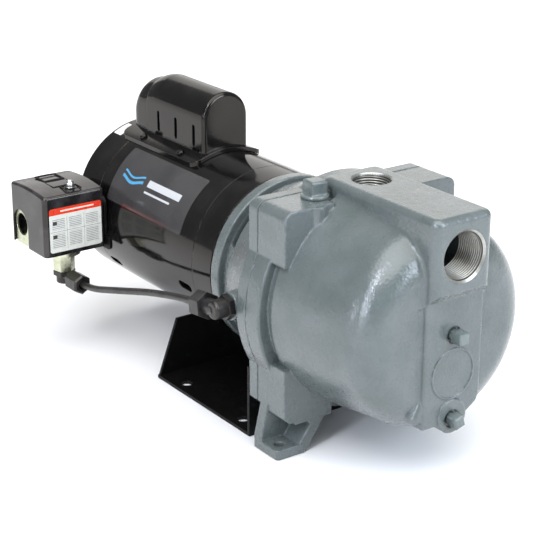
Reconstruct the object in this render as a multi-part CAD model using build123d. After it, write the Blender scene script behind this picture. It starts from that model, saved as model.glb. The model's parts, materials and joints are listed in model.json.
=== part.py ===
from build123d import *
import math
import os

# Shallow well jet pump with its motor, base bracket, pressure switch and sensing tube.
# Millimetres. +X runs along the shaft from the motor to the suction port, +Z is up.
# The origin is the middle of the base bracket's bolt pattern, on the floor under the shaft.

# ---- Driving dimensions -------------------------------------------------------------

SHAFT_Z = 123.3            # shaft height above the floor
CASING_Z = 127.6           # centre of the casing's barrel, a little above the shaft

# Stations along the shaft
REAR_END = -243.0
REAR_SEAM = -207.0
FRONT_SEAM = -33.0
MOTOR_FACE = 0.0
LUG_BACK = 73.0
PARTING = 86.0
FLANGE_FRONT = 104.5
LUG_FRONT = 123.6
CASING_FRONT = 225.0
LOWER_BLOCK_FRONT = 230.0
BLOCK_FRONT = 238.0

# Motor
SHELL_R = 79.4
SHELL_WALL = 2.4
BELL_WALL = 4.0
STACK_REAR = -165.0
STACK_FRONT = -75.0
ROTOR_R = 44.0
AIR_GAP = 0.4

# Ball bearings, 17 x 40 x 12 metric
BEARING_BORE_R = 8.5
BEARING_R = 20.0
BEARING_WIDTH = 12.0
BEARING_BALL_R = 3.4
BEARING_PITCH_R = 14.25
BEARING_BALLS = 8
FRONT_BEARING_X = -20.0
REAR_BEARING_X = -209.0

# Flange between the motor adapter and the casing
FLANGE_R = 103.5
LUG_HALF_Y = 90.3
LUG_HALF_Z = 95.2
LUG_CORNER_R = 9.0
LUG_CHAMFER = 12.0
LUG_GAP = 1.3
BOLT_Y = 72.0
BOLT_DZ = 76.0
BOLT_R = 4.1
BOLT_HEAD_AF = 14.3

# Casing barrel and its ports
BARREL_R = 99.2            # at the parting face
BARREL_DRAFT = 0.0828      # radius lost per millimetre towards the front
CORNER_TOP_R = 28.0        # the barrel's round front corner, wider above
CORNER_LOW_R = 24.0        # than below
SAG_START = 150.0          # from here on the underside rises a little faster
SAG_DRAFT = 0.047
CASING_WALL = 9.0
GROOVE_FRONT = 113.5
GROOVE_R = 93.5
RIDGE_TOP = 231.3
RIDGE_HALF = 30.4
RIDGE_BACK = 89.6
RIDGE_COVE_R = 6.0
RIDGE_UPRIGHT_R = 8.5
RIDGE_EDGE_R = 6.0
BLOCK_BOTTOM = 52.0
BLOCK_UPRIGHT_R = 2.0
BLOCK_COVE_R = 3.0
STEP_TOP_Z = 169.0
STEP_LOW_Z = 161.0
SUCTION_Z = 197.8
SUCTION_R = 20.4
SUCTION_MOUTH_R = 22.3
SUCTION_THREAD = 27.0
DISCHARGE_X = 121.1
DISCHARGE_R = 16.1
DISCHARGE_MOUTH_R = 17.6
CHAMBER_BACK = 186.0
CHAMBER_FRONT = 209.0
CHAMBER_HALF = 20.0

# Square head plugs
PLUG_CLEARANCE = 0.35
PRIMING_X = 102.2
PRIMING_Y = -44.5
PRIMING_R = 8.6
SMALL_PLUG_R = 5.2
GAUGE_Z = 128.8
DRAIN_Z = 55.4
DRAIN_BOSS_FACE = 231.5
DRAIN_BOSS_R = 14.8
MEDALLION_Z = 95.0
MEDALLION_R = 22.4

# Casing feet
FOOT_X0 = 90.7
FOOT_X1 = 124.4
FOOT_Y0 = 67.5
FOOT_Y1 = 97.5
FOOT_THICK = 8.5
FOOT_HOLE_X = 113.2
FOOT_HOLE_Y = 87.5
FOOT_HOLE_R = 4.6

# Base bracket, one folded sheet
SHEET = 3.0
BASE_X0 = -78.0
BASE_HALF_Y = 90.5
REAR_TOP_Z = 56.0
REAR_TOP_HALF = 69.6
FRONT_TOP_Z = 66.0
BASE_HOLE_X = 46.0
BASE_HOLE_Y = 78.8
BASE_HOLE_R = 5.25

# Capacitor cover
COVER_X1 = -95.0
COVER_STEP_X = -196.0
COVER_HALF = 25.0
COVER_TOP = 259.0
COVER_WALL = 2.2
# (x, half width, top) of the arches that the cover's falling rear follows, before and behind its step
COVER_FALL = ((-180.0, COVER_HALF, COVER_TOP), (-188.0, COVER_HALF, 257.9), (COVER_STEP_X, COVER_HALF, 255.2))
COVER_REAR = ((COVER_STEP_X, 23.8, 253.8), (-206.0, 23.8, 252.0), (-214.5, 23.6, 248.5), (-219.5, 22.8, 242.5),
              (-222.5, 20.8, 236.0))
SADDLE_HALF = 39.0
SADDLE_THICK = 4.2
SADDLE_REAR = -223.0
SADDLE_CORNER_R = 9.0
SADDLE_FRONT = -90.0
COVER_SCREW_Y = 33.5
COVER_SLOTS_X = (-174.0, -143.3, -112.0)
COVER_SLOT_Z0 = 207.5
COVER_SLOT_Z1 = 228.0
COVER_SLOT_R = 2.2

# Pressure switch
SWITCH_X0 = -248.5
SWITCH_X1 = -179.0
SWITCH_Y0 = -150.0
SWITCH_Y1 = -84.6
SWITCH_Z0 = 101.0
SWITCH_Z1 = 160.5
SWITCH_CROWN = 2.6
SWITCH_WALL = 2.0
SWITCH_CORNER_R = 4.5
CONDUIT_X = -231.0
CONDUIT_Z = 121.0
CONDUIT_R = 11.1
NIPPLE_X = -226.0
NIPPLE_R = 8.4
PORT_X = -206.0
PORT_Y = -117.0
STUD_X = -193.0
STUD_Y = -114.0
STUD_R = 3.0
BRACKET_Y0 = -84.2
FRAME_NEAR_Y = -147.4
FRAME_FAR_Y = -87.1
LEVER_X0 = -238.0
LEVER_Z = 115.0
LEVER_PIN_R = 1.5
LEVER_RISE = 2.9           # how far the tilting lever rises under the spring
PLUNGER_R = 4.0
CUP_R = 16.5
CUP_Z0 = 93.0
DIAPHRAGM_Z = 98.6

# Sensing tube, 1/4 inch outside diameter
TUBE_R = 3.2
TUBE_BORE_R = 2.0
SWITCH_ELBOW_Z = 71.5
NUT_X0 = -189.0
NUT_X1 = -169.5
CASING_ELBOW_X = 59.0
CASING_ELBOW_Y = -113.0
CASING_ELBOW_Z = 120.5
CASING_LEG_TILT = 8.0
TUBE_ROUTE = [
    (-177.0, -117.0, 70.0),
    (-148.0, -117.0, 73.0),
    (-104.0, -116.6, 85.5),
    (-44.0, -115.2, 102.8),
    (5.0, -113.0, 112.91),
    (46.0, -113.0, 118.67),
]


# ---- Helpers ------------------------------------------------------------------------

FROM_BASE = (Align.CENTER, Align.CENTER, Align.MIN)


def box(x0, x1, y0, y1, z0, z1):
    """A block between three pairs of faces."""
    size = Box(x1 - x0, y1 - y0, z1 - z0, align=(Align.MIN, Align.MIN, Align.MIN))
    return Pos(x0, y0, z0) * size


def rod_x(x0, x1, radius, y=0.0, z=SHAFT_Z):
    """A cylinder along X."""
    return Pos(x0, y, z) * Rot(0, 90, 0) * Cylinder(radius, x1 - x0, align=FROM_BASE)


def rod_y(y0, y1, radius, x, z):
    """A cylinder along Y."""
    return Pos(x, y0, z) * Rot(-90, 0, 0) * Cylinder(radius, y1 - y0, align=FROM_BASE)


def rod_z(z0, z1, radius, x, y):
    """A cylinder along Z."""
    return Pos(x, y, z0) * Cylinder(radius, z1 - z0, align=FROM_BASE)


def ring_x(x0, x1, outer, inner, y=0.0, z=SHAFT_Z):
    """A tube along X."""
    return rod_x(x0, x1, outer, y, z) - rod_x(x0 - 1, x1 + 1, inner, y, z)


def cone_x(x0, x1, r0, r1, y=0.0, z=SHAFT_Z):
    """A cone along X, r0 wide at x0 and r1 wide at x1."""
    return Pos(x0, y, z) * Rot(0, 90, 0) * Cone(r0, r1, x1 - x0, align=FROM_BASE)


def cone_z(z0, z1, r0, r1, x, y):
    """A cone along Z."""
    return Pos(x, y, z0) * Cone(r0, r1, z1 - z0, align=FROM_BASE)


def bar_x(x0, x1, flats, sides, y=0.0, z=SHAFT_Z, turn=0.0):
    """A polygonal bar along X with the given width across flats."""
    outline = RegularPolygon(flats / 2, sides, major_radius=False, rotation=turn)
    return Pos(x0, y, z) * Rot(0, 90, 0) * extrude(outline, x1 - x0)


def bar_y(y0, y1, flats, sides, x, z, turn=0.0):
    """A polygonal bar along Y."""
    outline = RegularPolygon(flats / 2, sides, major_radius=False, rotation=turn)
    return Pos(x, y0, z) * Rot(-90, 0, 0) * extrude(outline, y1 - y0)


def bar_z(z0, z1, flats, sides, x, y, turn=0.0):
    """A polygonal bar along Z."""
    outline = RegularPolygon(flats / 2, sides, major_radius=False, rotation=turn)
    return Pos(x, y, z0) * extrude(outline, z1 - z0)


def turned(points, z=SHAFT_Z):
    """A body of revolution about X from (x, radius) points."""
    return Pos(0, 0, z) * revolve(make_face(Polyline(*points, close=True)), Axis.X)


def prism_x(points, x0, x1):
    """A prism along X from (y, z) points."""
    outline = make_face(Polyline(*[(0, y, z) for y, z in points], close=True))
    return Pos(x0, 0, 0) * extrude(outline, x1 - x0, dir=(1, 0, 0))


def prism_y(points, y0, y1):
    """A prism along Y from (x, z) points."""
    outline = make_face(Polyline(*[(x, 0, z) for x, z in points], close=True))
    return Pos(0, y0, 0) * extrude(outline, y1 - y0, dir=(0, 1, 0))


def around_shaft(piece, degrees):
    """The piece turned about the shaft."""
    return Pos(0, 0, SHAFT_Z) * Rot(degrees, 0, 0) * Pos(0, 0, -SHAFT_Z) * piece


def coil(radius, wire, z0, z1, turns, x, y):
    """A compression spring standing on Z."""
    path = Helix((z1 - z0) / turns, z1 - z0, radius)
    start = Plane(origin=path @ 0, z_dir=path % 0)
    return Pos(x, y, z0) * sweep(start * Circle(wire), path=path, is_frenet=True)


# ---- Pump end -----------------------------------------------------------------------

def flange_outline(x0, x1):
    """The round flange with its four square corner lugs, as both castings have it."""
    square = box(x0, x1, -LUG_HALF_Y, LUG_HALF_Y, SHAFT_Z - LUG_HALF_Z, SHAFT_Z + LUG_HALF_Z)
    upper = square.edges().filter_by(Axis.X).group_by(Axis.Z)[-1]
    square = fillet(upper, LUG_CORNER_R)
    lower = square.edges().filter_by(Axis.X).group_by(Axis.Z)[0]
    return chamfer(lower, LUG_CHAMFER)


def corner_lugs(x0, x1):
    """The four corners of the square that stand outside the round flange."""
    gap = 47.8
    waist = box(x0 - 1, x1 + 1, -200, 200, SHAFT_Z - gap, SHAFT_Z + gap)
    middle = box(x0 - 1, x1 + 1, -40, 40, 0, 300)
    return flange_outline(x0, x1) - waist - middle


def lug_bolt_places():
    """(y, z) of the four flange bolts."""
    return [(y, SHAFT_Z + dz) for y in (-BOLT_Y, BOLT_Y) for dz in (BOLT_DZ, -BOLT_DZ)]


def cone_radius(x):
    """Radius of the barrel's slow cone at a station."""
    return BARREL_R - BARREL_DRAFT * (x - PARTING)


def corner_drop(x, radius):
    """How far a round front corner of the given radius has fallen at a station."""
    into = max(0.0, x - (CASING_FRONT - radius))
    return radius - math.sqrt(max(0.0, radius ** 2 - into ** 2))


def corner_section(x):
    """The barrel's circle at a station of its front part, rising underneath."""
    top = CASING_Z + cone_radius(x) - corner_drop(x, CORNER_TOP_R)
    low = CASING_Z - cone_radius(x) + corner_drop(x, CORNER_LOW_R) + SAG_DRAFT * (x - SAG_START)
    plane = Plane(origin=(x, 0, (top + low) / 2), z_dir=(1, 0, 0))
    return plane * Circle((top - low) / 2)


def barrel():
    """The casing's barrel: a slow cone, then a lofted nose with the round front corner."""
    bend = CASING_FRONT - CORNER_TOP_R
    stations = [SAG_START + (bend - SAG_START) * step / 6 for step in range(6)]
    stations += [bend + CORNER_TOP_R * math.sin(math.radians(turn)) for turn in range(0, 91, 15)]
    nose = loft([corner_section(x) for x in stations])
    cone = cone_x(GROOVE_FRONT, SAG_START, cone_radius(GROOVE_FRONT), cone_radius(SAG_START), 0, CASING_Z)
    return cone + nose


def barrel_neck():
    """The narrower part behind the barrel, under the lugs, with a bevelled step up to it."""
    return turned(
        [
            (PARTING, 0),
            (PARTING, GROOVE_R + 3),
            (FLANGE_FRONT, GROOVE_R + 3),
            (FLANGE_FRONT, GROOVE_R),
            (GROOVE_FRONT - 4, GROOVE_R),
            (GROOVE_FRONT, cone_radius(GROOVE_FRONT)),
            (GROOVE_FRONT, 0),
        ],
        CASING_Z,
    )


def is_ridge_foot(edge):
    """Whether an edge is where the ridge meets the barrel's cone, corner or front face."""
    on_flank = abs(abs(edge.center().Y) - RIDGE_HALF) < 0.01
    on_front = abs(edge.center().X - CASING_FRONT) < 0.01
    if edge.geom_type == GeomType.LINE:
        return on_front
    return on_flank and edge.geom_type in (GeomType.HYPERBOLA, GeomType.BSPLINE)


def ridged_barrel():
    """The barrel with the square ridge along its top, blended in with a concave round."""
    ridge = box(RIDGE_BACK, BLOCK_FRONT, -RIDGE_HALF, RIDGE_HALF, CASING_Z + 30, RIDGE_TOP)
    ridge = fillet(ridge.edges().filter_by(Axis.Z), RIDGE_UPRIGHT_R)
    ridge = fillet(ridge.faces().sort_by(Axis.Z)[-1].edges(), RIDGE_EDGE_R)
    body = barrel() + ridge
    body = fillet(body.edges().filter_by(is_ridge_foot), RIDGE_COVE_R)
    slope_foot = STEP_LOW_Z - (LOWER_BLOCK_FRONT - CASING_FRONT)
    below_step = [
        (CASING_FRONT, CASING_Z),
        (CASING_FRONT, slope_foot),
        (BLOCK_FRONT + 2, STEP_TOP_Z + 2),
        (BLOCK_FRONT + 2, CASING_Z),
    ]
    return body - prism_y(below_step, -60, 60)


def lower_block():
    """The block down the front face with its rounds, its flare at the foot and a plain ring."""
    half = RIDGE_HALF
    outline = [
        (-half, BLOCK_BOTTOM),
        (8, BLOCK_BOTTOM),
        (half - 4, BLOCK_BOTTOM + 12),
        (half, BLOCK_BOTTOM + 21),
        (half, STEP_LOW_Z),
        (-half, STEP_LOW_Z),
    ]
    block = prism_x(outline, CASING_FRONT - 22, LOWER_BLOCK_FRONT)
    front_edges = block.faces().sort_by(Axis.X)[-1].edges()
    uprights = [edge for edge in front_edges if edge.length > 60 and abs(edge.center().Y) > half - 1]
    block = fillet(uprights, BLOCK_UPRIGHT_R)
    cove_x = CASING_FRONT + BLOCK_COVE_R
    cove = box(CASING_FRONT - 10, cove_x, half - 1, half + BLOCK_COVE_R, 75, STEP_LOW_Z - 2)
    cove -= rod_z(70, STEP_LOW_Z, BLOCK_COVE_R, cove_x, half + BLOCK_COVE_R)
    flare = prism_x([(-half, 80), (-42, 57), (-6, BLOCK_BOTTOM), (-6, 80)],
                    CASING_FRONT - 22, LOWER_BLOCK_FRONT - 1)
    flare = fillet([edge for edge in flare.edges().filter_by(Axis.X) if edge.center().Y < -40], 5.0)
    rim = flare.faces().sort_by(Axis.X)[-1].edges()
    flare = fillet([edge for edge in rim if edge.center().Y < -8], 6.0)
    ring = ring_x(LOWER_BLOCK_FRONT - 1, LOWER_BLOCK_FRONT + 0.8, MEDALLION_R, MEDALLION_R - 1.4,
                  0, MEDALLION_Z)
    return block + cove + mirror(cove, about=Plane.XZ) + flare + ring


def foot(side):
    """One casing foot: base plate, back wall, sloping inner web and the lug's skirt above it."""
    plate = box(FOOT_X0, FOOT_X1, FOOT_Y0, FOOT_Y1, 0, FOOT_THICK)
    plate = fillet(plate.edges().filter_by(Axis.Z), 3.0)
    back = prism_x(
        [(FOOT_Y0, 0), (FOOT_Y1, 0), (FOOT_Y1, 12), (LUG_HALF_Y, 44), (52, 44), (48, 34)],
        FOOT_X0,
        101.0,
    )
    web = prism_x(
        [
            (FOOT_Y0 - 0.5, 0),
            (FOOT_Y0 + 7.5, FOOT_THICK - 1),
            (62.5, 23.5),
            (66.5, 30),
            (84, 30.5),
            (LUG_HALF_Y, 36),
            (LUG_HALF_Y, 80),
            (60, 80),
            (38, 52),
            (38.5, 41.5),
        ],
        FOOT_X0,
        LUG_FRONT,
    )
    hole = rod_z(-1, FOOT_THICK + 4, FOOT_HOLE_R, FOOT_HOLE_X, FOOT_HOLE_Y)
    piece = plate + back + web - hole
    return piece if side > 0 else mirror(piece, about=Plane.XZ)


def casing_cavity():
    """The water space: pressure chamber, suction chamber and the bores between them."""
    front_x = CHAMBER_BACK - 8
    pressure = turned(
        [
            (PARTING - 1, 0),
            (PARTING - 1, 88.0),
            (PARTING + 7, 88.0),
            (PARTING + 7, 84.0),
            (front_x, cone_radius(front_x) - CASING_WALL),
            (front_x, 0),
        ]
    )
    suction = box(CHAMBER_BACK, CHAMBER_FRONT, -CHAMBER_HALF, CHAMBER_HALF, 104, 216)
    suction = fillet(suction.edges().filter_by(Axis.X), 14)
    venturi_bore = rod_x(front_x - 1, CHAMBER_BACK + 1, 15.0)
    return pressure + suction + venturi_bore


def casing_bores():
    """Pipe ports, plug holes and tapped bolt holes."""
    suction = rod_x(BLOCK_FRONT - SUCTION_THREAD - 4, BLOCK_FRONT + 1, SUCTION_R, 0, SUCTION_Z)
    mouth = SUCTION_MOUTH_R - SUCTION_R
    suction += cone_x(BLOCK_FRONT - mouth, BLOCK_FRONT, SUCTION_R, SUCTION_MOUTH_R, 0, SUCTION_Z)
    discharge = rod_z(RIDGE_TOP - 60, RIDGE_TOP + 1, DISCHARGE_R, DISCHARGE_X, 0)
    lip = DISCHARGE_MOUTH_R - DISCHARGE_R
    discharge += cone_z(RIDGE_TOP - lip, RIDGE_TOP, DISCHARGE_R, DISCHARGE_MOUTH_R, DISCHARGE_X, 0)
    priming = rod_z(180, SHAFT_Z + LUG_HALF_Z + 3, PRIMING_R, PRIMING_X, PRIMING_Y)
    gauge = rod_x(CHAMBER_FRONT - 1, LOWER_BLOCK_FRONT + 1, SMALL_PLUG_R, 0, GAUGE_Z)
    drain = rod_x(170, DRAIN_BOSS_FACE + 1, SMALL_PLUG_R, 0, DRAIN_Z)
    gauge += rod_x(LOWER_BLOCK_FRONT - 2.5, LOWER_BLOCK_FRONT + 1, SMALL_PLUG_R + 2.2, 0, GAUGE_Z)
    drain += rod_x(DRAIN_BOSS_FACE - 2.5, DRAIN_BOSS_FACE + 1, SMALL_PLUG_R + 2.8, 0, DRAIN_Z)
    bores = suction + discharge + priming + gauge + drain
    for y, z in lug_bolt_places():
        bores += rod_x(PARTING - 1, PARTING + 26, BOLT_R + 0.05, y, z)
    return bores


def priming_seat():
    """Spot face cut into the flange under the priming plug's collar."""
    top = SHAFT_Z + LUG_HALF_Z
    return rod_z(top, top + 9, 13.2, PRIMING_X, PRIMING_Y)


def pump_casing():
    """The grey iron casing with its ridge, front block, lugs, feet and ports."""
    flange = rod_x(PARTING, FLANGE_FRONT, FLANGE_R)
    flange = fillet(flange.edges().group_by(Axis.X)[-1], 1.6)
    lugs = corner_lugs(PARTING, LUG_FRONT)
    body = ridged_barrel() + lower_block() + barrel_neck() + flange + lugs
    body += rod_z(185, SHAFT_Z + LUG_HALF_Z - 0.5, 9.0, LUG_FRONT - 5.5, -54.5)
    body += rod_x(CASING_FRONT - 20, DRAIN_BOSS_FACE, DRAIN_BOSS_R, 0, DRAIN_Z + 2)
    body += foot(1) + foot(-1)
    return body - casing_cavity() - casing_bores() - priming_seat()


def priming_plug():
    """Priming plug: square head over a round collar, threaded shank below."""
    base_z = SHAFT_Z + LUG_HALF_Z + 0.3
    shank = rod_z(base_z - 17, base_z, PRIMING_R - PLUG_CLEARANCE, PRIMING_X, PRIMING_Y)
    collar = rod_z(base_z, base_z + 3.2, 12.0, PRIMING_X, PRIMING_Y)
    collar = chamfer(collar.edges().group_by(Axis.Z)[-1], 0.8)
    head = bar_z(base_z + 3, base_z + 15, 15.0, 4, PRIMING_X, PRIMING_Y, 40)
    head = chamfer(head.edges().group_by(Axis.Z)[-1], 1.2)
    return shank + collar + head


def square_plug(face_x, z, reach, flats, turn):
    """Gauge or drain plug: a short square head on a threaded shank along X."""
    shank = rod_x(face_x - 14, face_x + 1.5, SMALL_PLUG_R - PLUG_CLEARANCE, 0, z)
    head = bar_x(face_x + 0.8, face_x + reach, flats, 4, 0, z, turn)
    head = chamfer(head.edges().group_by(Axis.X)[-1], 0.9)
    return shank + head


def gauge_plug():
    """Square head plug on the nozzle's line."""
    return square_plug(LOWER_BLOCK_FRONT, GAUGE_Z, 13.0, 9.5, 45)


def drain_plug():
    """Square head plug at the foot of the front block."""
    return square_plug(DRAIN_BOSS_FACE, DRAIN_Z, 10.6, 9.8, 60)


def adapter_shell():
    """The adapter's outer form: motor ring, neck, flare and flange plate."""
    return turned(
        [
            (MOTOR_FACE + 0.3, 0),
            (MOTOR_FACE + 0.3, 81.0),
            (10.0, 81.0),
            (10.8, 80.2),
            (10.8, 73.5),
            (14.5, 73.5),
            (17.0, 78.5),
            (45.0, 88.5),
            (62.0, 94.0),
            (LUG_BACK, 95.5),
            (LUG_BACK, FLANGE_R),
            (PARTING - 0.3, FLANGE_R),
            (PARTING - 0.3, 87.6),
            (PARTING + 6.5, 87.6),
            (PARTING + 6.5, 0),
        ]
    )


def adapter_hollow():
    """Air space on the motor side, shaft passage, and the impeller recess on the wet side."""
    dry = turned([(-1, 0), (-1, 70), (6, 70), (6, 68.5), (20, 68.5), (50, 82), (50, 0)])
    seat_bore = rod_x(49, 60.5, 13.0)
    shaft_hole = rod_x(40, 70, 10.5)
    wet = turned([(60, 0), (60, 20), (66, 20), (66, 76), (PARTING + 7, 76), (PARTING + 7, 0)])
    return dry + seat_bore + shaft_hole + wet


def adapter_window(centre_deg, span_deg):
    """One ventilation window through the neck and flare."""
    reach = 130.0
    half = math.radians(span_deg / 2)
    far_y = reach * math.cos(half)
    rise = reach * math.sin(half)
    wedge = prism_x([(0, SHAFT_Z), (far_y, SHAFT_Z + rise), (far_y, SHAFT_Z - rise)], 11.2, 28.0)
    return around_shaft(wedge, centre_deg) - rod_x(0, 60, 40)


def motor_adapter():
    """The grey iron adapter between the motor's face and the casing."""
    body = adapter_shell() - adapter_hollow()
    for centre in (37, 143, 270):
        body -= adapter_window(centre, 24)
    body += corner_lugs(LUG_BACK, PARTING - LUG_GAP) - rod_x(LUG_BACK - 1, PARTING + 1, 90)
    reach = rod_y(-101.5, -80, 12.5, CASING_ELBOW_X, CASING_ELBOW_Z)
    body += reach - rod_x(40, 90, 80)
    body -= rod_y(-102.5, -89, 6.1, CASING_ELBOW_X, CASING_ELBOW_Z)
    body -= rod_y(-90, -70, 3.0, CASING_ELBOW_X + 11, CASING_ELBOW_Z)
    for y, z in lug_bolt_places():
        body -= rod_x(LUG_BACK - 1, PARTING + 1, BOLT_R + 0.5, y, z)
        body -= rod_x(LUG_BACK - 12, LUG_BACK, 9.5, y, z)
    return body


def flange_bolt(y, z):
    """A hex screw along +X, entered from the motor side against the lug or the bracket."""
    seat = LUG_BACK if z > SHAFT_Z else LUG_BACK - SHEET
    head = bar_x(seat - 6.5, seat - 1.8, BOLT_HEAD_AF, 6, y, z)
    head = chamfer(head.edges().group_by(Axis.X)[0], 0.8)
    washer = rod_x(seat - 1.8, seat, 8.8, y, z)
    return head + washer + rod_x(seat, seat + 35, BOLT_R, y, z)


def flange_bolts():
    """The four screws that join the adapter and the casing; the lower two hold the bracket too."""
    return [flange_bolt(y, z) for y, z in lug_bolt_places()]


def casing_ring():
    """The square rubber ring between the adapter's spigot and the casing."""
    return ring_x(PARTING + 2.2, PARTING + 5.0, 87.95, 87.65)


def impeller():
    """Closed impeller: back plate, curved vanes, front plate with the eye, and the hub."""
    back = rod_x(80, 82.5, 58)
    front = ring_x(91, 93.2, 58, 19)
    hub = rod_x(76, 86, 11)
    body = back + front + hub
    for index in range(6):
        outline = ThreePointArc((14, 0), (36, 14), (57, 2))
        inner = ThreePointArc((57, -1), (36, 10.5), (14, -3))
        vane = make_face(outline + Line((57, 2), (57, -1)) + inner + Line((14, -3), (14, 0)))
        blade = Pos(82, 0, SHAFT_Z) * Rot(0, 90, 0) * Rot(0, 0, index * 60) * extrude(vane, 9.5)
        body += blade
    return body - rod_x(70, 87, 5.55)


def diffuser():
    """Diffuser bowl around the impeller with guide vanes and the venturi's socket."""
    bowl = turned([(79, 62), (79, 65), (94.5, 65), (99, 60), (112, 26), (122, 26), (122, 17),
                   (99, 17), (99, 22), (95, 22), (95, 60), (93, 62)])
    for index in range(8):
        vane = box(79, 94, -1.5, 1.5, SHAFT_Z + 64, SHAFT_Z + 74)
        bowl += around_shaft(vane, index * 45)
    return bowl


def diffuser_ring():
    """Rubber ring that seals the diffuser's neck on the venturi."""
    return ring_x(107, 110, 16.9, 14.1)


def venturi_tube():
    """Venturi: narrow throat at the nozzle end, widening towards the impeller."""
    outside = rod_x(104, 178, 14.0) + rod_x(176, 192, 14.7)
    flow = cone_x(103, 170, 13.0 - 0.5, 6.0) + rod_x(169, 182, 6.0) + cone_x(181, 193, 6.0, 12.5)
    return outside - flow


def jet_nozzle():
    """Nozzle screwed into the front wall on the shaft line, blowing into the venturi."""
    body = bar_x(200, CHAMBER_FRONT, 15, 6) + cone_x(193.5, 200, 4.5, 7.4)
    return body - rod_x(190, CHAMBER_FRONT - 3, 2.8)


def seal_seat():
    """Ceramic seat of the shaft seal, held in the seal plate."""
    return ring_x(60.8, 65.4, 19.7, 10.2)


def seal_head():
    """Carbon ring and shell of the shaft seal, turning with the shaft."""
    carbon = ring_x(65.7, 69.5, 13.0, 8.1)
    shell = ring_x(69, 75.5, 11.5, 8.1)
    return carbon + shell - ring_x(71, 76, 10.2, 8.9)


def seal_spring():
    """The seal's spring, shown as its wave stack."""
    return ring_x(71.2, 75.4, 10.0, 9.1)


def water_slinger():
    """Rubber ring that throws leaked water off the shaft."""
    return turned([(30, 8.1), (30, 22), (32.5, 22), (33.5, 12), (38, 11), (38, 8.1)])


# ---- Motor --------------------------------------------------------------------------

def vent_slot(x0, x1, width, degrees):
    """A round ended slot through the motor's wall, turned about the shaft."""
    radius = width / 2
    cutter = box(x0 + radius, x1 - radius, 60, 90, SHAFT_Z - radius, SHAFT_Z + radius)
    cutter += rod_y(60, 90, radius, x0 + radius, SHAFT_Z)
    cutter += rod_y(60, 90, radius, x1 - radius, SHAFT_Z)
    return around_shaft(cutter, degrees)


def motor_shell():
    """Rolled steel shell with vent slots low on both sides."""
    shell = ring_x(REAR_SEAM + 0.3, FRONT_SEAM - 0.3, SHELL_R, SHELL_R - SHELL_WALL)
    shell -= rod_z(SHAFT_Z + 60, SHAFT_Z + 90, 7.0, -150, 0)
    for angle in (-161, -125, -55, -19):
        shell -= vent_slot(-62, -41, 8.0, angle)
    for angle in (-143, -37):
        shell -= vent_slot(-205.5, -187, 10.5, angle)
    for x, angle in cover_screw_places():
        shell -= around_shaft(rod_z(SHAFT_Z + 60, SHAFT_Z + 90, 2.1, x, 0), angle)
    return shell


def through_bolt_places():
    """(y, z) of the four long motor bolts."""
    reach = 60.0
    places = []
    for angle in (45, 135, 225, 315):
        turn = math.radians(angle)
        places.append((reach * math.cos(turn), SHAFT_Z + reach * math.sin(turn)))
    return places


def front_bell():
    """Front end bell: cup with a bearing hub, spigot in the shell and a face for the adapter."""
    cup = turned(
        [
            (FRONT_SEAM, 0),
            (FRONT_SEAM, SHELL_R),
            (-3.5, SHELL_R),
            (-3.5, 78.6),
            (MOTOR_FACE, 78.0),
            (MOTOR_FACE, 0),
        ]
    )
    hollow = turned([(FRONT_SEAM - 1, 26), (FRONT_SEAM - 1, SHELL_R - BELL_WALL),
                     (-10, SHELL_R - BELL_WALL), (-7, 71), (-7, 26)])
    spigot = ring_x(FRONT_SEAM - 5, FRONT_SEAM, SHELL_R - SHELL_WALL - 0.1, SHELL_R - BELL_WALL)
    bore = rod_x(FRONT_SEAM - 1, FRONT_BEARING_X + BEARING_WIDTH, BEARING_R + 0.02)
    shaft_hole = rod_x(-20, 10, 10.0)
    bell = cup - hollow + spigot - bore - shaft_hole
    for y, z in through_bolt_places():
        bell -= rod_x(-8, 1, 3.0, y, z)
    return bell


def rear_bell():
    """Rear end bell: bearing web, switch compartment behind it and a conduit hole in its side."""
    bell = turned(
        [(REAR_END, 0), (REAR_END, SHELL_R - 1.2), (REAR_END + 1.2, SHELL_R), (REAR_SEAM, SHELL_R),
         (REAR_SEAM, 0)]
    )
    rim = bell.edges().filter_by(GeomType.CIRCLE).group_by(Axis.X)[0]
    bell = fillet(rim, 1.0)
    compartment = rod_x(REAR_END + 4, REAR_SEAM - 6, SHELL_R - BELL_WALL)
    opening = rod_x(REAR_END - 1, REAR_END + 5, 62.0)
    seat = rod_x(REAR_SEAM - 2, REAR_SEAM + 1, SHELL_R - BELL_WALL)
    bell = bell - compartment - opening - seat
    bell += ring_x(REAR_SEAM - 1, REAR_SEAM + 5, SHELL_R - SHELL_WALL - 0.1, SHELL_R - BELL_WALL)
    bell += rod_x(REAR_SEAM - 4, REAR_BEARING_X + BEARING_WIDTH + 2, 26.0)
    bell -= rod_x(REAR_BEARING_X, REAR_BEARING_X + BEARING_WIDTH + 3, BEARING_R + 0.02)
    bell -= rod_x(REAR_SEAM - 8, REAR_BEARING_X + 1, 10.0)
    bell -= rod_y(-90, -60, NIPPLE_R + 0.3, NIPPLE_X, SHAFT_Z)
    for y, z in through_bolt_places():
        bell -= rod_x(REAR_SEAM - 8, REAR_SEAM + 1, 3.0, y, z)
    return bell


def rear_cover():
    """Round cover plate over the rear bell's switch compartment."""
    disc = rod_x(REAR_END + 0.6, REAR_END + 4.0, 61.7)
    disc += rod_x(REAR_END - 2.0, REAR_END + 0.6, 52.0)
    disc = fillet(disc.edges().group_by(Axis.X)[0], 1.8)
    for angle in range(0, 360, 45):
        disc -= around_shaft(rod_x(REAR_END - 3, REAR_END + 5, 3.2, 36.0, SHAFT_Z), angle)
    for y in (-56.8, 56.8):
        disc -= rod_x(REAR_END - 3, REAR_END + 5, 2.2, y, SHAFT_Z)
    return disc


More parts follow.
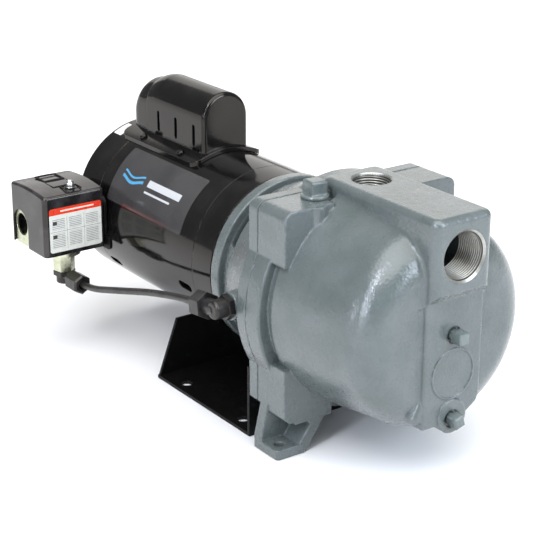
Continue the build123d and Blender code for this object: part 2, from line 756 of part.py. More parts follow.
def rear_cover_screws():
    """The two screws and spacers that hold the rear cover to the bearing web."""
    screws = []
    for y in (-56.8, 56.8):
        screw = rod_x(REAR_END - 1.6, REAR_END + 0.6, 4.0, y)
        screw = fillet(screw.edges().group_by(Axis.X)[0], 1.4)
        screw -= box(REAR_END - 2, REAR_END - 0.7, y - 3, y + 3, SHAFT_Z - 0.5, SHAFT_Z + 0.5)
        screws.append(screw + rod_x(REAR_END + 0.6, REAR_SEAM - 6, 2.1, y))
    return screws


def through_bolts():
    """Four long bolts that clamp the bells on the shell."""
    bolts = []
    for y, z in through_bolt_places():
        bolt = rod_x(REAR_SEAM - 6.3, -0.4, 2.4, y, z)
        bolt += bar_x(REAR_SEAM - 10, REAR_SEAM - 6.2, 8.0, 6, y, z)
        bolts.append(bolt)
    return bolts


def stator_core():
    """Laminated stack with open slots for the windings."""
    core = ring_x(STACK_REAR, STACK_FRONT, SHELL_R - SHELL_WALL - 0.1, ROTOR_R + AIR_GAP)
    slot = box(STACK_REAR - 1, STACK_FRONT + 1, -2.6, 2.6, SHAFT_Z + 49, SHAFT_Z + 58)
    slots = Compound(children=[
        around_shaft(slot, turn) for turn in range(0, 360, 15)
    ])
    core -= slots
    for y, z in through_bolt_places():
        core -= rod_x(STACK_REAR - 1, STACK_FRONT + 1, 2.9, y, z)
    return core


def stator_windings():
    """End turns at both ends of the stack, joined by the copper in the slots."""
    end_length = 20.0
    rear = ring_x(STACK_REAR - end_length, STACK_REAR - 0.8, 57.3, 47.5)
    front = ring_x(STACK_FRONT + 0.8, STACK_FRONT + end_length, 57.3, 47.5)
    rear = fillet(rear.edges().filter_by(GeomType.CIRCLE), 3.0)
    front = fillet(front.edges().filter_by(GeomType.CIRCLE), 3.0)
    body = rear + front
    for turn in range(0, 360, 15):
        strand = box(STACK_REAR - 5, STACK_FRONT + 5, -2.3, 2.3, SHAFT_Z + 49.6, SHAFT_Z + 56)
        body += around_shaft(strand, turn)
    return body


def rotor_core():
    """Laminated rotor stack pressed on the shaft."""
    return ring_x(STACK_REAR, STACK_FRONT, ROTOR_R, 10.05)


def rotor_fan_rings():
    """Cast end rings with cooling blades."""
    rings = []
    for face, way in ((STACK_REAR, -1), (STACK_FRONT, 1)):
        near, far = sorted((face, face + way * 6))
        ring = ring_x(near, far, 42, 26)
        blade_near, blade_far = sorted((face + way * 5, face + way * 17))
        blade = box(blade_near, blade_far, -1.5, 1.5, SHAFT_Z + 28, SHAFT_Z + 40)
        for turn in range(0, 360, 45):
            ring += around_shaft(blade, turn)
        rings.append(ring)
    return rings


def motor_shaft():
    """Stepped shaft: governor end, bearing seats, rotor seat, seal length and impeller thread."""
    return turned(
        [
            (-232, 0),
            (-232, 8.4),
            (REAR_BEARING_X + BEARING_WIDTH, BEARING_BORE_R - 0.02),
            (REAR_BEARING_X + BEARING_WIDTH, 10),
            (FRONT_BEARING_X, 10),
            (FRONT_BEARING_X, BEARING_BORE_R - 0.02),
            (0, BEARING_BORE_R - 0.02),
            (0, 8.0),
            (76, 8.0),
            (76, 5.5),
            (86.5, 5.5),
            (86.5, 0),
        ]
    )


def bearing_outer(x0):
    """Outer race with its ball groove."""
    centre = x0 + BEARING_WIDTH / 2
    ring = ring_x(x0, x0 + BEARING_WIDTH, BEARING_R, BEARING_PITCH_R + 1.6)
    return ring - ball_groove(centre)


def bearing_inner(x0):
    """Inner race with its ball groove."""
    centre = x0 + BEARING_WIDTH / 2
    ring = ring_x(x0, x0 + BEARING_WIDTH, BEARING_PITCH_R - 1.6, BEARING_BORE_R)
    return ring - ball_groove(centre)


def ball_groove(centre):
    """The ring of space that the balls run in."""
    groove = Pos(centre, 0, SHAFT_Z) * Rot(0, 90, 0) * Torus(BEARING_PITCH_R, BEARING_BALL_R + 0.06)
    return groove


def bearing_balls(x0):
    """Ball set joined by its ribbon cage."""
    centre = x0 + BEARING_WIDTH / 2
    cage = ring_x(centre - 1.0, centre + 1.0, BEARING_PITCH_R + 0.9, BEARING_PITCH_R - 0.9)
    for index in range(BEARING_BALLS):
        ball = Pos(centre, BEARING_PITCH_R, SHAFT_Z) * Sphere(BEARING_BALL_R)
        cage += around_shaft(ball, index * 360 / BEARING_BALLS)
    return cage


def governor_hub():
    """Speed switch hub fixed on the shaft's rear end, with its two weights."""
    hub = ring_x(-231.5, -227.5, 13, 8.45)
    for angle in (90, 270):
        weight = box(-231, -227.5, -5, 5, SHAFT_Z + 11, SHAFT_Z + 27)
        hub += around_shaft(weight, angle)
    return hub


def governor_collar():
    """Sliding collar that the weights pull back when the motor is up to speed."""
    sleeve = ring_x(-223.5, -219.8, 14, 8.6)
    return sleeve + ring_x(-221.5, -219.8, 20, 8.6)


def start_switch():
    """Start winding switch and terminal board on the bearing web."""
    board = box(-216.5, -213.2, -34, 34, SHAFT_Z - 55, SHAFT_Z - 24)
    block = box(-224, -216, -14, 14, SHAFT_Z - 50, SHAFT_Z - 30)
    finger = box(-219.0, -217.8, -4, 4, SHAFT_Z - 31, SHAFT_Z - 15)
    body = board + block + finger + box(-219.0, -213.2, -4, 4, SHAFT_Z - 32, SHAFT_Z - 28)
    for y in (-28, -20, 20, 28):
        body += box(-222, -216, y - 2.5, y + 2.5, SHAFT_Z - 46, SHAFT_Z - 44.8)
    return body


# ---- Capacitor ----------------------------------------------------------------------

def capacitor_can():
    """Round start capacitor lying along the motor."""
    can = rod_x(-203, -110, 19.0, 0, 228)
    can = fillet(can.edges().filter_by(GeomType.CIRCLE), 1.5)
    for y in (-7, 7):
        can += box(-209, -202, y - 3, y + 3, 227.6, 228.4)
    return can


def capacitor_clamp():
    """Steel strap that holds the capacitor on the shell."""
    strap = ring_x(-164, -148, 20.0, 19.1, 0, 228)
    leg = box(-164, -148, -2, 2, SHAFT_Z + SHELL_R + 0.2, 208.6) - rod_x(-170, -140, 19.1, 0, 228)
    return strap + leg


def hood(x0, x1, half, top, bottom):
    """An arched block: straight sides and a round top."""
    straight = box(x0, x1, -half, half, bottom, top - half)
    return straight + rod_x(x0, x1, half, 0, top - half)


def arched_loft(arches, bottom):
    """A smooth block through (x, half width, top) arches that stand on one level."""
    faces = []
    for x, half, top in arches:
        spring = top - half
        sides = Polyline((x, half, spring), (x, half, bottom), (x, -half, bottom), (x, -half, spring))
        crown = ThreePointArc((x, -half, spring), (x, 0, top), (x, half, spring))
        faces.append(make_face(sides + crown))
    return loft(faces)


def saddle(x0, x1, half, inner, outer):
    """A strip wrapped on the shell."""
    strip = ring_x(x0, x1, outer, inner)
    return strip & box(x0, x1, -half, half, SHAFT_Z + 40, SHAFT_Z + 100)


def rounded_end(block, end, radius):
    """The block with the edges of one end face rounded, except the edge along its foot."""
    edges = block.faces().sort_by(Axis.X)[end].edges().group_by(Axis.Z)[1:]
    return fillet([edge for group in edges for edge in group], radius)


def capacitor_cover():
    """Pressed steel cover with a saddle flange, a step at the rear and side slots."""
    inner_r = SHELL_R + 0.2
    outer_r = inner_r + SADDLE_THICK
    front = hood(COVER_FALL[0][0], COVER_X1, COVER_HALF, COVER_TOP, SHAFT_Z + 50)
    front = rounded_end(front, -1, 4.0)
    fall = rounded_end(arched_loft(COVER_FALL, SHAFT_Z + 50), 0, 0.8)
    rear = arched_loft(COVER_REAR, SHAFT_Z + 50)
    flange = saddle(SADDLE_REAR, SADDLE_FRONT, SADDLE_HALF, inner_r, outer_r)
    corners = flange.edges().filter_by(GeomType.LINE).filter_by(Axis.X, reverse=True)
    flange = fillet(corners, SADDLE_CORNER_R)
    inner_half = COVER_HALF - COVER_WALL - 1.8
    hollow = hood(COVER_FALL[0][0], COVER_X1 - COVER_WALL, inner_half, COVER_TOP - 4, SHAFT_Z + 40)
    hollow += hood(-210.5, COVER_FALL[0][0], inner_half, 248.4, SHAFT_Z + 40)
    cover = front + fall + rear + flange - hollow - rod_x(SADDLE_REAR - 9, SADDLE_FRONT + 9, inner_r)
    for x in COVER_SLOTS_X:
        slot = round_slot_y(-COVER_HALF - 2, -COVER_HALF + 6, x)
        cover -= slot
        cover -= mirror(slot, about=Plane.XZ)
    for x, angle in cover_screw_places():
        cover -= around_shaft(rod_z(SHAFT_Z + 60, SHAFT_Z + 100, 2.1, x, 0), angle)
    return cover


def round_slot_y(y0, y1, x):
    """An upright round ended slot through the cover's side."""
    low = COVER_SLOT_Z0 + COVER_SLOT_R
    high = COVER_SLOT_Z1 - COVER_SLOT_R
    ends = rod_y(y0, y1, COVER_SLOT_R, x, low) + rod_y(y0, y1, COVER_SLOT_R, x, high)
    return ends + box(x - COVER_SLOT_R, x + COVER_SLOT_R, y0, y1, low, high)


def cover_screw_places():
    """(x, angle from the top about the shaft) of the four cover screws."""
    angle = math.degrees(math.asin(COVER_SCREW_Y / (SHELL_R + SADDLE_THICK)))
    return [(x, turn) for x in (-188, -121.5) for turn in (-angle, angle)]


def capacitor_cover_screws():
    """Pan head screws through the saddle into the shell."""
    screws = []
    seat = SHAFT_Z + SHELL_R + 0.2 + SADDLE_THICK
    for x, angle in cover_screw_places():
        head = rod_z(seat, seat + 2.8, 3.8, x, 0)
        head = fillet(head.edges().group_by(Axis.Z)[-1], 1.6)
        screw = head + rod_z(seat - 6.4, seat, 1.9, x, 0)
        screws.append(around_shaft(screw, angle))
    return screws


# ---- Base ---------------------------------------------------------------------------

def base_bracket():
    """One folded sheet: floor plate, rear upright cradling the shell, front upright on the adapter."""
    plate = box(BASE_X0, LUG_BACK, -BASE_HALF_Y, BASE_HALF_Y, 0, SHEET)
    half_outline = [(BASE_HALF_Y, 0), (REAR_TOP_HALF, REAR_TOP_Z)]
    outline = half_outline + [(-y, z) for y, z in reversed(half_outline)]
    rear = prism_x(outline, BASE_X0, BASE_X0 + SHEET)
    rear -= rod_x(BASE_X0 - 1, BASE_X0 + SHEET + 1, SHELL_R + 0.1)
    front = box(LUG_BACK - SHEET, LUG_BACK, -BASE_HALF_Y, BASE_HALF_Y, 0, FRONT_TOP_Z)
    front -= rod_x(LUG_BACK - SHEET - 1, LUG_BACK + 1, 96.5)
    bracket = plate + rear + front
    for x in (-BASE_HOLE_X, BASE_HOLE_X):
        for y in (-BASE_HOLE_Y, BASE_HOLE_Y):
            bracket -= rod_z(-1, SHEET + 1, BASE_HOLE_R, x, y)
    for y, z in lug_bolt_places():
        if z < SHAFT_Z:
            bracket -= rod_x(LUG_BACK - SHEET - 1, LUG_BACK + 1, BOLT_R + 0.5, y, z)
    return bracket


# ---- Pressure switch ----------------------------------------------------------------

def u_slot(y0, y1, x, z, radius):
    """A round topped slot, open at the bottom."""
    return rod_y(y0, y1, radius, x, z) + box(x - radius, x + radius, y0, y1, z - 60, z)


def crowned_block(inset):
    """The switch cover's outer form, taken in by the given amount."""
    x0 = SWITCH_X0 + inset
    x1 = SWITCH_X1 - inset
    top = SWITCH_Z1 - inset
    foot_z = SWITCH_Z0 - 2 * inset
    depth = SWITCH_Y1 - SWITCH_Y0 - 2 * inset
    arch = ThreePointArc((x0, top), ((x0 + x1) / 2, top + SWITCH_CROWN), (x1, top))
    legs = Polyline((x1, top), (x1, foot_z), (x0, foot_z), (x0, top))
    solid = Pos(0, SWITCH_Y1 - inset, 0) * Rot(90, 0, 0) * extrude(make_face(arch + legs), depth)
    return fillet(solid.edges().filter_by(Axis.Z), SWITCH_CORNER_R - inset)


def switch_cover():
    """Black plastic cover, open below, with a conduit slot in each side."""
    outer = crowned_block(0)
    outer = fillet(outer.faces().sort_by(Axis.Z)[-1].edges(), 3.0)
    cover = outer - crowned_block(SWITCH_WALL)
    cover -= u_slot(SWITCH_Y0 - 1, SWITCH_Y0 + 5, CONDUIT_X + 1.5, CONDUIT_Z, 15.5)
    cover -= u_slot(SWITCH_Y1 - 5, SWITCH_Y1 + 1, NIPPLE_X, CONDUIT_Z + 2, 12.5)
    cover -= rod_z(SWITCH_Z0, SWITCH_Z1 + 9, 3.4, STUD_X, STUD_Y)
    return cover


def cover_nut():
    """Acorn nut that holds the cover on its stud."""
    seat = SWITCH_Z1 + 2.2
    nut = bar_z(seat, seat + 3.6, 8.2, 6, STUD_X, STUD_Y)
    nut += rod_z(seat, seat + 0.6, 4.9, STUD_X, STUD_Y)
    dome = Pos(STUD_X, STUD_Y, seat + 3.4) * Sphere(4.0)
    nut += dome & rod_z(seat + 3, seat + 12, 4.0, STUD_X, STUD_Y)
    return nut - rod_z(seat - 1, seat + 4.5, 3.3, STUD_X, STUD_Y)


def switch_frame():
    """Zinc plated frame: base plate, two side plates with conduit holes, and lever ears."""
    plate = box(-243.0, -184.0, FRAME_NEAR_Y, FRAME_FAR_Y, 104, 106)
    near = box(-243.0, -214.0, FRAME_NEAR_Y, FRAME_NEAR_Y + 1.6, 100.5, 146)
    far = box(-243.0, -206.0, FRAME_FAR_Y - 1.6, FRAME_FAR_Y, 104, 146)
    frame = plate + near + far
    for y in (-131.0, -104.6):
        frame += box(-242.5, -233.5, y, y + 1.6, 105, 119)
    frame = fillet([edge for edge in frame.edges().filter_by(Axis.Z) if edge.center().X > -185], 3.0)
    frame -= rod_y(FRAME_NEAR_Y - 2, FRAME_NEAR_Y + 3, CONDUIT_R, CONDUIT_X, CONDUIT_Z)
    frame -= rod_y(FRAME_FAR_Y - 3, FRAME_FAR_Y + 2, NIPPLE_R + 0.3, NIPPLE_X, SHAFT_Z)
    frame -= rod_y(-135, -100, LEVER_PIN_R + 0.05, LEVER_X0, LEVER_Z)
    frame -= rod_z(103, 107, PLUNGER_R + 0.4, PORT_X, PORT_Y)
    frame -= rod_z(103, 107, STUD_R + 0.05, STUD_X, STUD_Y)
    return frame


def lever_pin():
    """Hinge pin of the contact lever."""
    return rod_y(-132.5, -101.5, LEVER_PIN_R, LEVER_X0, LEVER_Z)


def contact_lever():
    """Sprung plate that the plunger lifts, with its hinge knuckle and the stud's hole."""
    plate = box(-236.4, -184, -128, -106, LEVER_Z - 1, LEVER_Z + 1)
    lever = plate + rod_y(-128.5, -105.5, 3.2, LEVER_X0, LEVER_Z)
    lever -= rod_y(-130, -104, LEVER_PIN_R + 0.05, LEVER_X0, LEVER_Z)
    return lever - rod_z(LEVER_Z - 3, LEVER_Z + 3, STUD_R + 1.4, STUD_X, STUD_Y)


def plunger():
    """Push rod from the diaphragm to the lever."""
    return rod_z(DIAPHRAGM_Z + 0.3, LEVER_Z - 1.3, PLUNGER_R, PORT_X, PORT_Y)


def diaphragm():
    """Rubber diaphragm in the cup."""
    return rod_z(DIAPHRAGM_Z - 1.8, DIAPHRAGM_Z, CUP_R - 2.7, PORT_X, PORT_Y)


def diaphragm_cup():
    """Pressure cup under the frame with its hex and pipe bore."""
    cup = rod_z(CUP_Z0, 103.8, CUP_R, PORT_X, PORT_Y)
    cup -= rod_z(DIAPHRAGM_Z - 2.2, DIAPHRAGM_Z + 1.6, CUP_R - 2.5, PORT_X, PORT_Y)
    cup += bar_z(SWITCH_ELBOW_Z + 4.1, CUP_Z0, 18.5, 6, PORT_X, PORT_Y, 12)
    cup -= rod_z(DIAPHRAGM_Z, 105, PLUNGER_R + 0.4, PORT_X, PORT_Y)
    return cup - rod_z(74, DIAPHRAGM_Z - 2, 4.2, PORT_X, PORT_Y)


def range_stud():
    """Long stud that carries the range spring and the cover's nut."""
    stud = rod_z(104.0, SWITCH_Z1 + 6.0, STUD_R, STUD_X, STUD_Y)
    return stud + bar_z(106, 109, 9, 6, STUD_X, STUD_Y)


def range_spring():
    """Main spring, pressing the lever down on the plunger."""
    return coil(6.4, 0.9, LEVER_Z + LEVER_RISE + 2.2, 143.0, 7, STUD_X, STUD_Y)


def range_nut():
    """Adjusting nut and its spring washer."""
    nut = bar_z(146.0, 150.0, 9.5, 6, STUD_X, STUD_Y) + rod_z(144.4, 146.0, 8.5, STUD_X, STUD_Y)
    return nut - rod_z(140, 152, STUD_R + 0.05, STUD_X, STUD_Y)


def contact_block():
    """Moulded terminal block over the lever, with fixed contacts and screw terminals."""
    block = box(-228, -203, -136, -98, 124, 141) + box(-228, -203, -136, -131.5, 106.1, 125)
    block += box(-228, -203, -102.6, -98, 106.1, 125)
    for y in (-127, -107):
        block -= box(-229, -202, y - 5.5, y + 5.5, 134, 142)
    return block


def switch_bracket():
    """Black plate between the switch and the motor, with a rounded tab low at the front."""
    plate = box(-240, -181, BRACKET_Y0, BRACKET_Y0 + 2.8, 100, 150)
    plate = fillet(plate.edges().filter_by(Axis.Y), 8.0)
    tab = box(-200, -172, BRACKET_Y0, BRACKET_Y0 + 2.8, 98, 111)
    tab = fillet(tab.edges().filter_by(Axis.Y), 4.0)
    return plate + tab - rod_y(-90, -80, NIPPLE_R + 0.3, NIPPLE_X, SHAFT_Z)


def conduit_nipple():
    """Threaded wire passage from the switch into the motor's rear bell, with its shoulder."""
    shoulder = rod_y(BRACKET_Y0 + 2.9, -78.0, 12.0, NIPPLE_X, SHAFT_Z)
    shoulder -= rod_x(REAR_END - 5, REAR_SEAM + 5, SHELL_R + 0.1)
    nipple = rod_y(-95, -69, NIPPLE_R, NIPPLE_X, SHAFT_Z) + shoulder
    return nipple - rod_y(-98, -60, NIPPLE_R - 1.8, NIPPLE_X, SHAFT_Z)


def nipple_locknuts():
    """Lock nuts inside the switch and inside the bell."""
    nuts = []
    bore = rod_y(-100, -60, NIPPLE_R + 0.05, NIPPLE_X, SHAFT_Z)
    for y0 in (FRAME_FAR_Y - 4.8, -73.0):
        nuts.append(bar_y(y0, y0 + 3.0, 22, 6, NIPPLE_X, SHAFT_Z, 30) - bore)
    return nuts


# ---- Sensing tube and fittings ------------------------------------------------------

def switch_elbow():
    """Black plastic elbow under the switch, with its collar and the tube's leg along +X."""
    z = SWITCH_ELBOW_Z
    collar = bar_z(z - 1, z + 3.8, 19.0, 6, PORT_X, PORT_Y, 12)
    body = rod_z(z - 9, z, 8.2, PORT_X, PORT_Y)
    body = fillet(body.edges().group_by(Axis.Z)[0], 1.5)
    stem = rod_z(z + 3, z + 18, 4.1, PORT_X, PORT_Y)
    leg = rod_x(PORT_X, NUT_X1 - 9.5, 5.4, PORT_Y, z - 1.5)
    bore = rod_z(z - 1.5, z + 19, 2.0, PORT_X, PORT_Y)
    bore += rod_x(PORT_X, NUT_X1, 2.0, PORT_Y, z - 1.5)
    socket = rod_x(NUT_X1 - 16.5, NUT_X1, TUBE_R + 0.05, PORT_Y, z - 1.5)
    return collar + body + stem + leg - bore - socket


def on_casing_leg(piece):
    """The piece, built along X through the elbow's centre, turned to the leg's slope."""
    x, y, z = CASING_ELBOW_X, CASING_ELBOW_Y, CASING_ELBOW_Z
    return Pos(x, y, z) * Rot(0, -CASING_LEG_TILT, 0) * Pos(-x, -y, -z) * piece


def casing_elbow():
    """Black plastic elbow on the adapter, with its hex collar and the tube's leg along -X."""
    x, y, z = CASING_ELBOW_X, CASING_ELBOW_Y, CASING_ELBOW_Z
    collar = bar_y(y + 6, -101.7, 20.0, 6, x, z, 15)
    body = rod_y(y - 6.5, y + 6.5, 8.6, x, z)
    body = fillet(body.edges().group_by(Axis.Y)[0], 3.0)
    stem = rod_y(-102, -89.5, 6.0, x, z)
    leg = on_casing_leg(rod_x(x - 18, x, 7.4, y, z))
    elbow = collar + body + stem + leg
    bore = rod_y(y, -89, 2.0, x, z) + on_casing_leg(rod_x(x - 19, x, 2.0, y, z))
    return elbow - bore - on_casing_leg(rod_x(x - 19, x - 12, TUBE_R + 0.05, y, z))


def compression_nuts():
    """Plastic nuts that hold the tube in both elbows."""
    z = SWITCH_ELBOW_Z - 1.5
    first = bar_x(NUT_X0, NUT_X1, 17.2, 6, PORT_Y, z)
    first = chamfer(first.edges().group_by(Axis.X)[-1], 1.5)
    first -= rod_x(NUT_X0 - 1, NUT_X1 - 9.2, 5.5, PORT_Y, z)
    first -= rod_x(NUT_X0, NUT_X1 + 1, TUBE_R + 1.0, PORT_Y, z)
    x, y, z = CASING_ELBOW_X, CASING_ELBOW_Y, CASING_ELBOW_Z
    second = bar_x(x - 30.5, x - 15, 21.5, 6, y, z)
    second = chamfer(second.edges().group_by(Axis.X)[0], 1.5)
    second -= rod_x(x - 18.3, x, 7.5, y, z)
    second -= rod_x(x - 40, x, TUBE_R + 0.9, y, z)
    return [first, on_casing_leg(second)]


def route_radii(points):
    """The largest tangent arc that each corner's two runs leave room for."""
    radii = []
    for before, corner, after in zip(points, points[1:], points[2:]):
        arriving = Vector(*corner) - Vector(*before)
        leaving = Vector(*after) - Vector(*corner)
        turn = math.radians(arriving.get_angle(leaving))
        shorter = min(arriving.length, leaving.length)
        radii.append(0.45 * shorter / math.tan(turn / 2))
    return radii


def pressure_tube():
    """Plastic sensing tube between the two elbows, straight runs joined by tangent arcs."""
    radii = route_radii(TUBE_ROUTE)
    path = FilletPolyline(*TUBE_ROUTE, radius=radii)
    start = Plane(origin=path @ 0, z_dir=path % 0)
    return sweep(start * (Circle(TUBE_R) - Circle(TUBE_BORE_R)), path=path)


# ---- The assembly -------------------------------------------------------------------

NODES = {
    "pump_casing": pump_casing,
    "motor_adapter": motor_adapter,
    "flange_bolts": flange_bolts,
    "casing_ring": casing_ring,
    "priming_plug": priming_plug,
    "gauge_plug": gauge_plug,
    "drain_plug": drain_plug,
    "impeller": impeller,
    "diffuser": diffuser,
    "diffuser_ring": diffuser_ring,
    "venturi_tube": venturi_tube,
    "jet_nozzle": jet_nozzle,
    "seal_seat": seal_seat,
    "seal_head": seal_head,
    "seal_spring": seal_spring,
    "water_slinger": water_slinger,
    "motor_shell": motor_shell,
    "front_bell": front_bell,
    "rear_bell": rear_bell,
    "rear_cover": rear_cover,
    "rear_cover_screws": rear_cover_screws,
    "through_bolts": through_bolts,
    "stator_core": stator_core,
    "stator_windings": stator_windings,
    "rotor_core": rotor_core,
    "rotor_fan_rings": rotor_fan_rings,
    "motor_shaft": motor_shaft,
    "front_bearing_outer": lambda: bearing_outer(FRONT_BEARING_X),
    "front_bearing_inner": lambda: bearing_inner(FRONT_BEARING_X),
    "front_bearing_balls": lambda: bearing_balls(FRONT_BEARING_X),
    "rear_bearing_outer": lambda: bearing_outer(REAR_BEARING_X),
    "rear_bearing_inner": lambda: bearing_inner(REAR_BEARING_X),
    "rear_bearing_balls": lambda: bearing_balls(REAR_BEARING_X),
    "governor_hub": governor_hub,
    "governor_collar": governor_collar,
    "start_switch": start_switch,
    "capacitor_can": capacitor_can,
    "capacitor_clamp": capacitor_clamp,
    "capacitor_cover": capacitor_cover,
    "capacitor_cover_screws": capacitor_cover_screws,
    "base_bracket": base_bracket,
    "switch_cover": switch_cover,
    "cover_nut": cover_nut,
    "switch_frame": switch_frame,
    "lever_pin": lever_pin,
    "contact_lever": contact_lever,
    "plunger": plunger,
    "diaphragm": diaphragm,
    "diaphragm_cup": diaphragm_cup,
    "range_stud": range_stud,
    "range_spring": range_spring,
    "range_nut": range_nut,
    "contact_block": contact_block,
    "switch_bracket": switch_bracket,
    "conduit_nipple": conduit_nipple,
    "nipple_locknuts": nipple_locknuts,
    "switch_elbow": switch_elbow,
    "casing_elbow": casing_elbow,
    "compression_nuts": compression_nuts,
    "pressure_tube": pressure_tube,
}


os.makedirs("parts", exist_ok=True)
for node, build in NODES.items():
    made = build()
    solids = made if isinstance(made, list) else [made]
    pieces = [solid for shape in solids for solid in shape.solids()]
    whole = pieces[0] if len(pieces) == 1 else Compound(children=pieces)
    whole.label = node
    export_step(whole, f"parts/{node}.step")
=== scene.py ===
"""Shallow well jet pump: finishes, labels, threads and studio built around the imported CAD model."""
import json
import math

import bpy
from mathutils import Matrix, Vector


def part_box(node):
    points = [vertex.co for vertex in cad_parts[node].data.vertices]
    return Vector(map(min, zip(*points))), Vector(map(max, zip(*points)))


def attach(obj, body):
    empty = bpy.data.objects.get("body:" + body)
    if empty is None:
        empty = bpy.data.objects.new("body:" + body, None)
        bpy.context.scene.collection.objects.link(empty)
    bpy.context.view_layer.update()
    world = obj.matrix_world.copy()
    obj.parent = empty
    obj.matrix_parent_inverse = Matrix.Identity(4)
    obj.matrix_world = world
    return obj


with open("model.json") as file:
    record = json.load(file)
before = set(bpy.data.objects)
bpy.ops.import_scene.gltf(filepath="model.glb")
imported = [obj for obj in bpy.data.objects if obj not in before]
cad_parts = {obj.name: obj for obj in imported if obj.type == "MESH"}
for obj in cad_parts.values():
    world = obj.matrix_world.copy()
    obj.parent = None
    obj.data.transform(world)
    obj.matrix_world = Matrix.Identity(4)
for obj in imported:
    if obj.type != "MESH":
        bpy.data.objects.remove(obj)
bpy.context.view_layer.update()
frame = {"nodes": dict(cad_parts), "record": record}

MM = 0.001
LIFT = 0.12 * MM           # how far stickers stand off the surface they are on

# ---- Places read from the CAD model -------------------------------------------------

def shaft_height():
    """Height of the shaft's axis."""
    low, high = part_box("motor_shaft")
    return (low.z + high.z) / 2


SHAFT_Z = shaft_height()
SHELL_LOW, SHELL_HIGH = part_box("motor_shell")
SHELL_R = (SHELL_HIGH.y - SHELL_LOW.y) / 2
SWITCH_LOW, SWITCH_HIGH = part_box("switch_cover")
MOUNTS = {mount["name"]: mount for mount in frame["record"]["mounts"]}

# ---- Camera -------------------------------------------------------------------------

CAMERA_AT = (1.0980, -0.8021, 0.6286)
CAMERA_AZIMUTH = math.radians(54.56)
CAMERA_ELEVATION = math.radians(20.65)
CAMERA_ROLL = math.radians(0.13)
CAMERA_LENS = 107.65
CAMERA_SENSOR = 36.0


def add_camera():
    """The camera at the photograph's place and angle."""
    data = bpy.data.cameras.new("camera")
    data.lens = CAMERA_LENS
    data.sensor_width = CAMERA_SENSOR
    data.clip_start = 0.05
    data.clip_end = 60.0
    camera = bpy.data.objects.new("camera", data)
    bpy.context.scene.collection.objects.link(camera)
    heading = Matrix.Rotation(CAMERA_AZIMUTH, 4, "Z")
    tilt = Matrix.Rotation(math.pi / 2 - CAMERA_ELEVATION, 4, "X")
    roll = Matrix.Rotation(CAMERA_ROLL, 4, "Z")
    camera.matrix_world = Matrix.Translation(CAMERA_AT) @ heading @ tilt @ roll
    bpy.context.scene.camera = camera


# ---- Node graph helpers -------------------------------------------------------------

BEVEL_SAMPLES = 6
CREVICE_SAMPLES = 10


def linear(red, green, blue):
    """Display colour values of 0 to 255 as a linear RGBA colour."""
    channels = []
    for value in (red, green, blue):
        share = value / 255
        channels.append(share / 12.92 if share <= 0.04045 else ((share + 0.055) / 1.055) ** 2.4)
    return (*channels, 1.0)


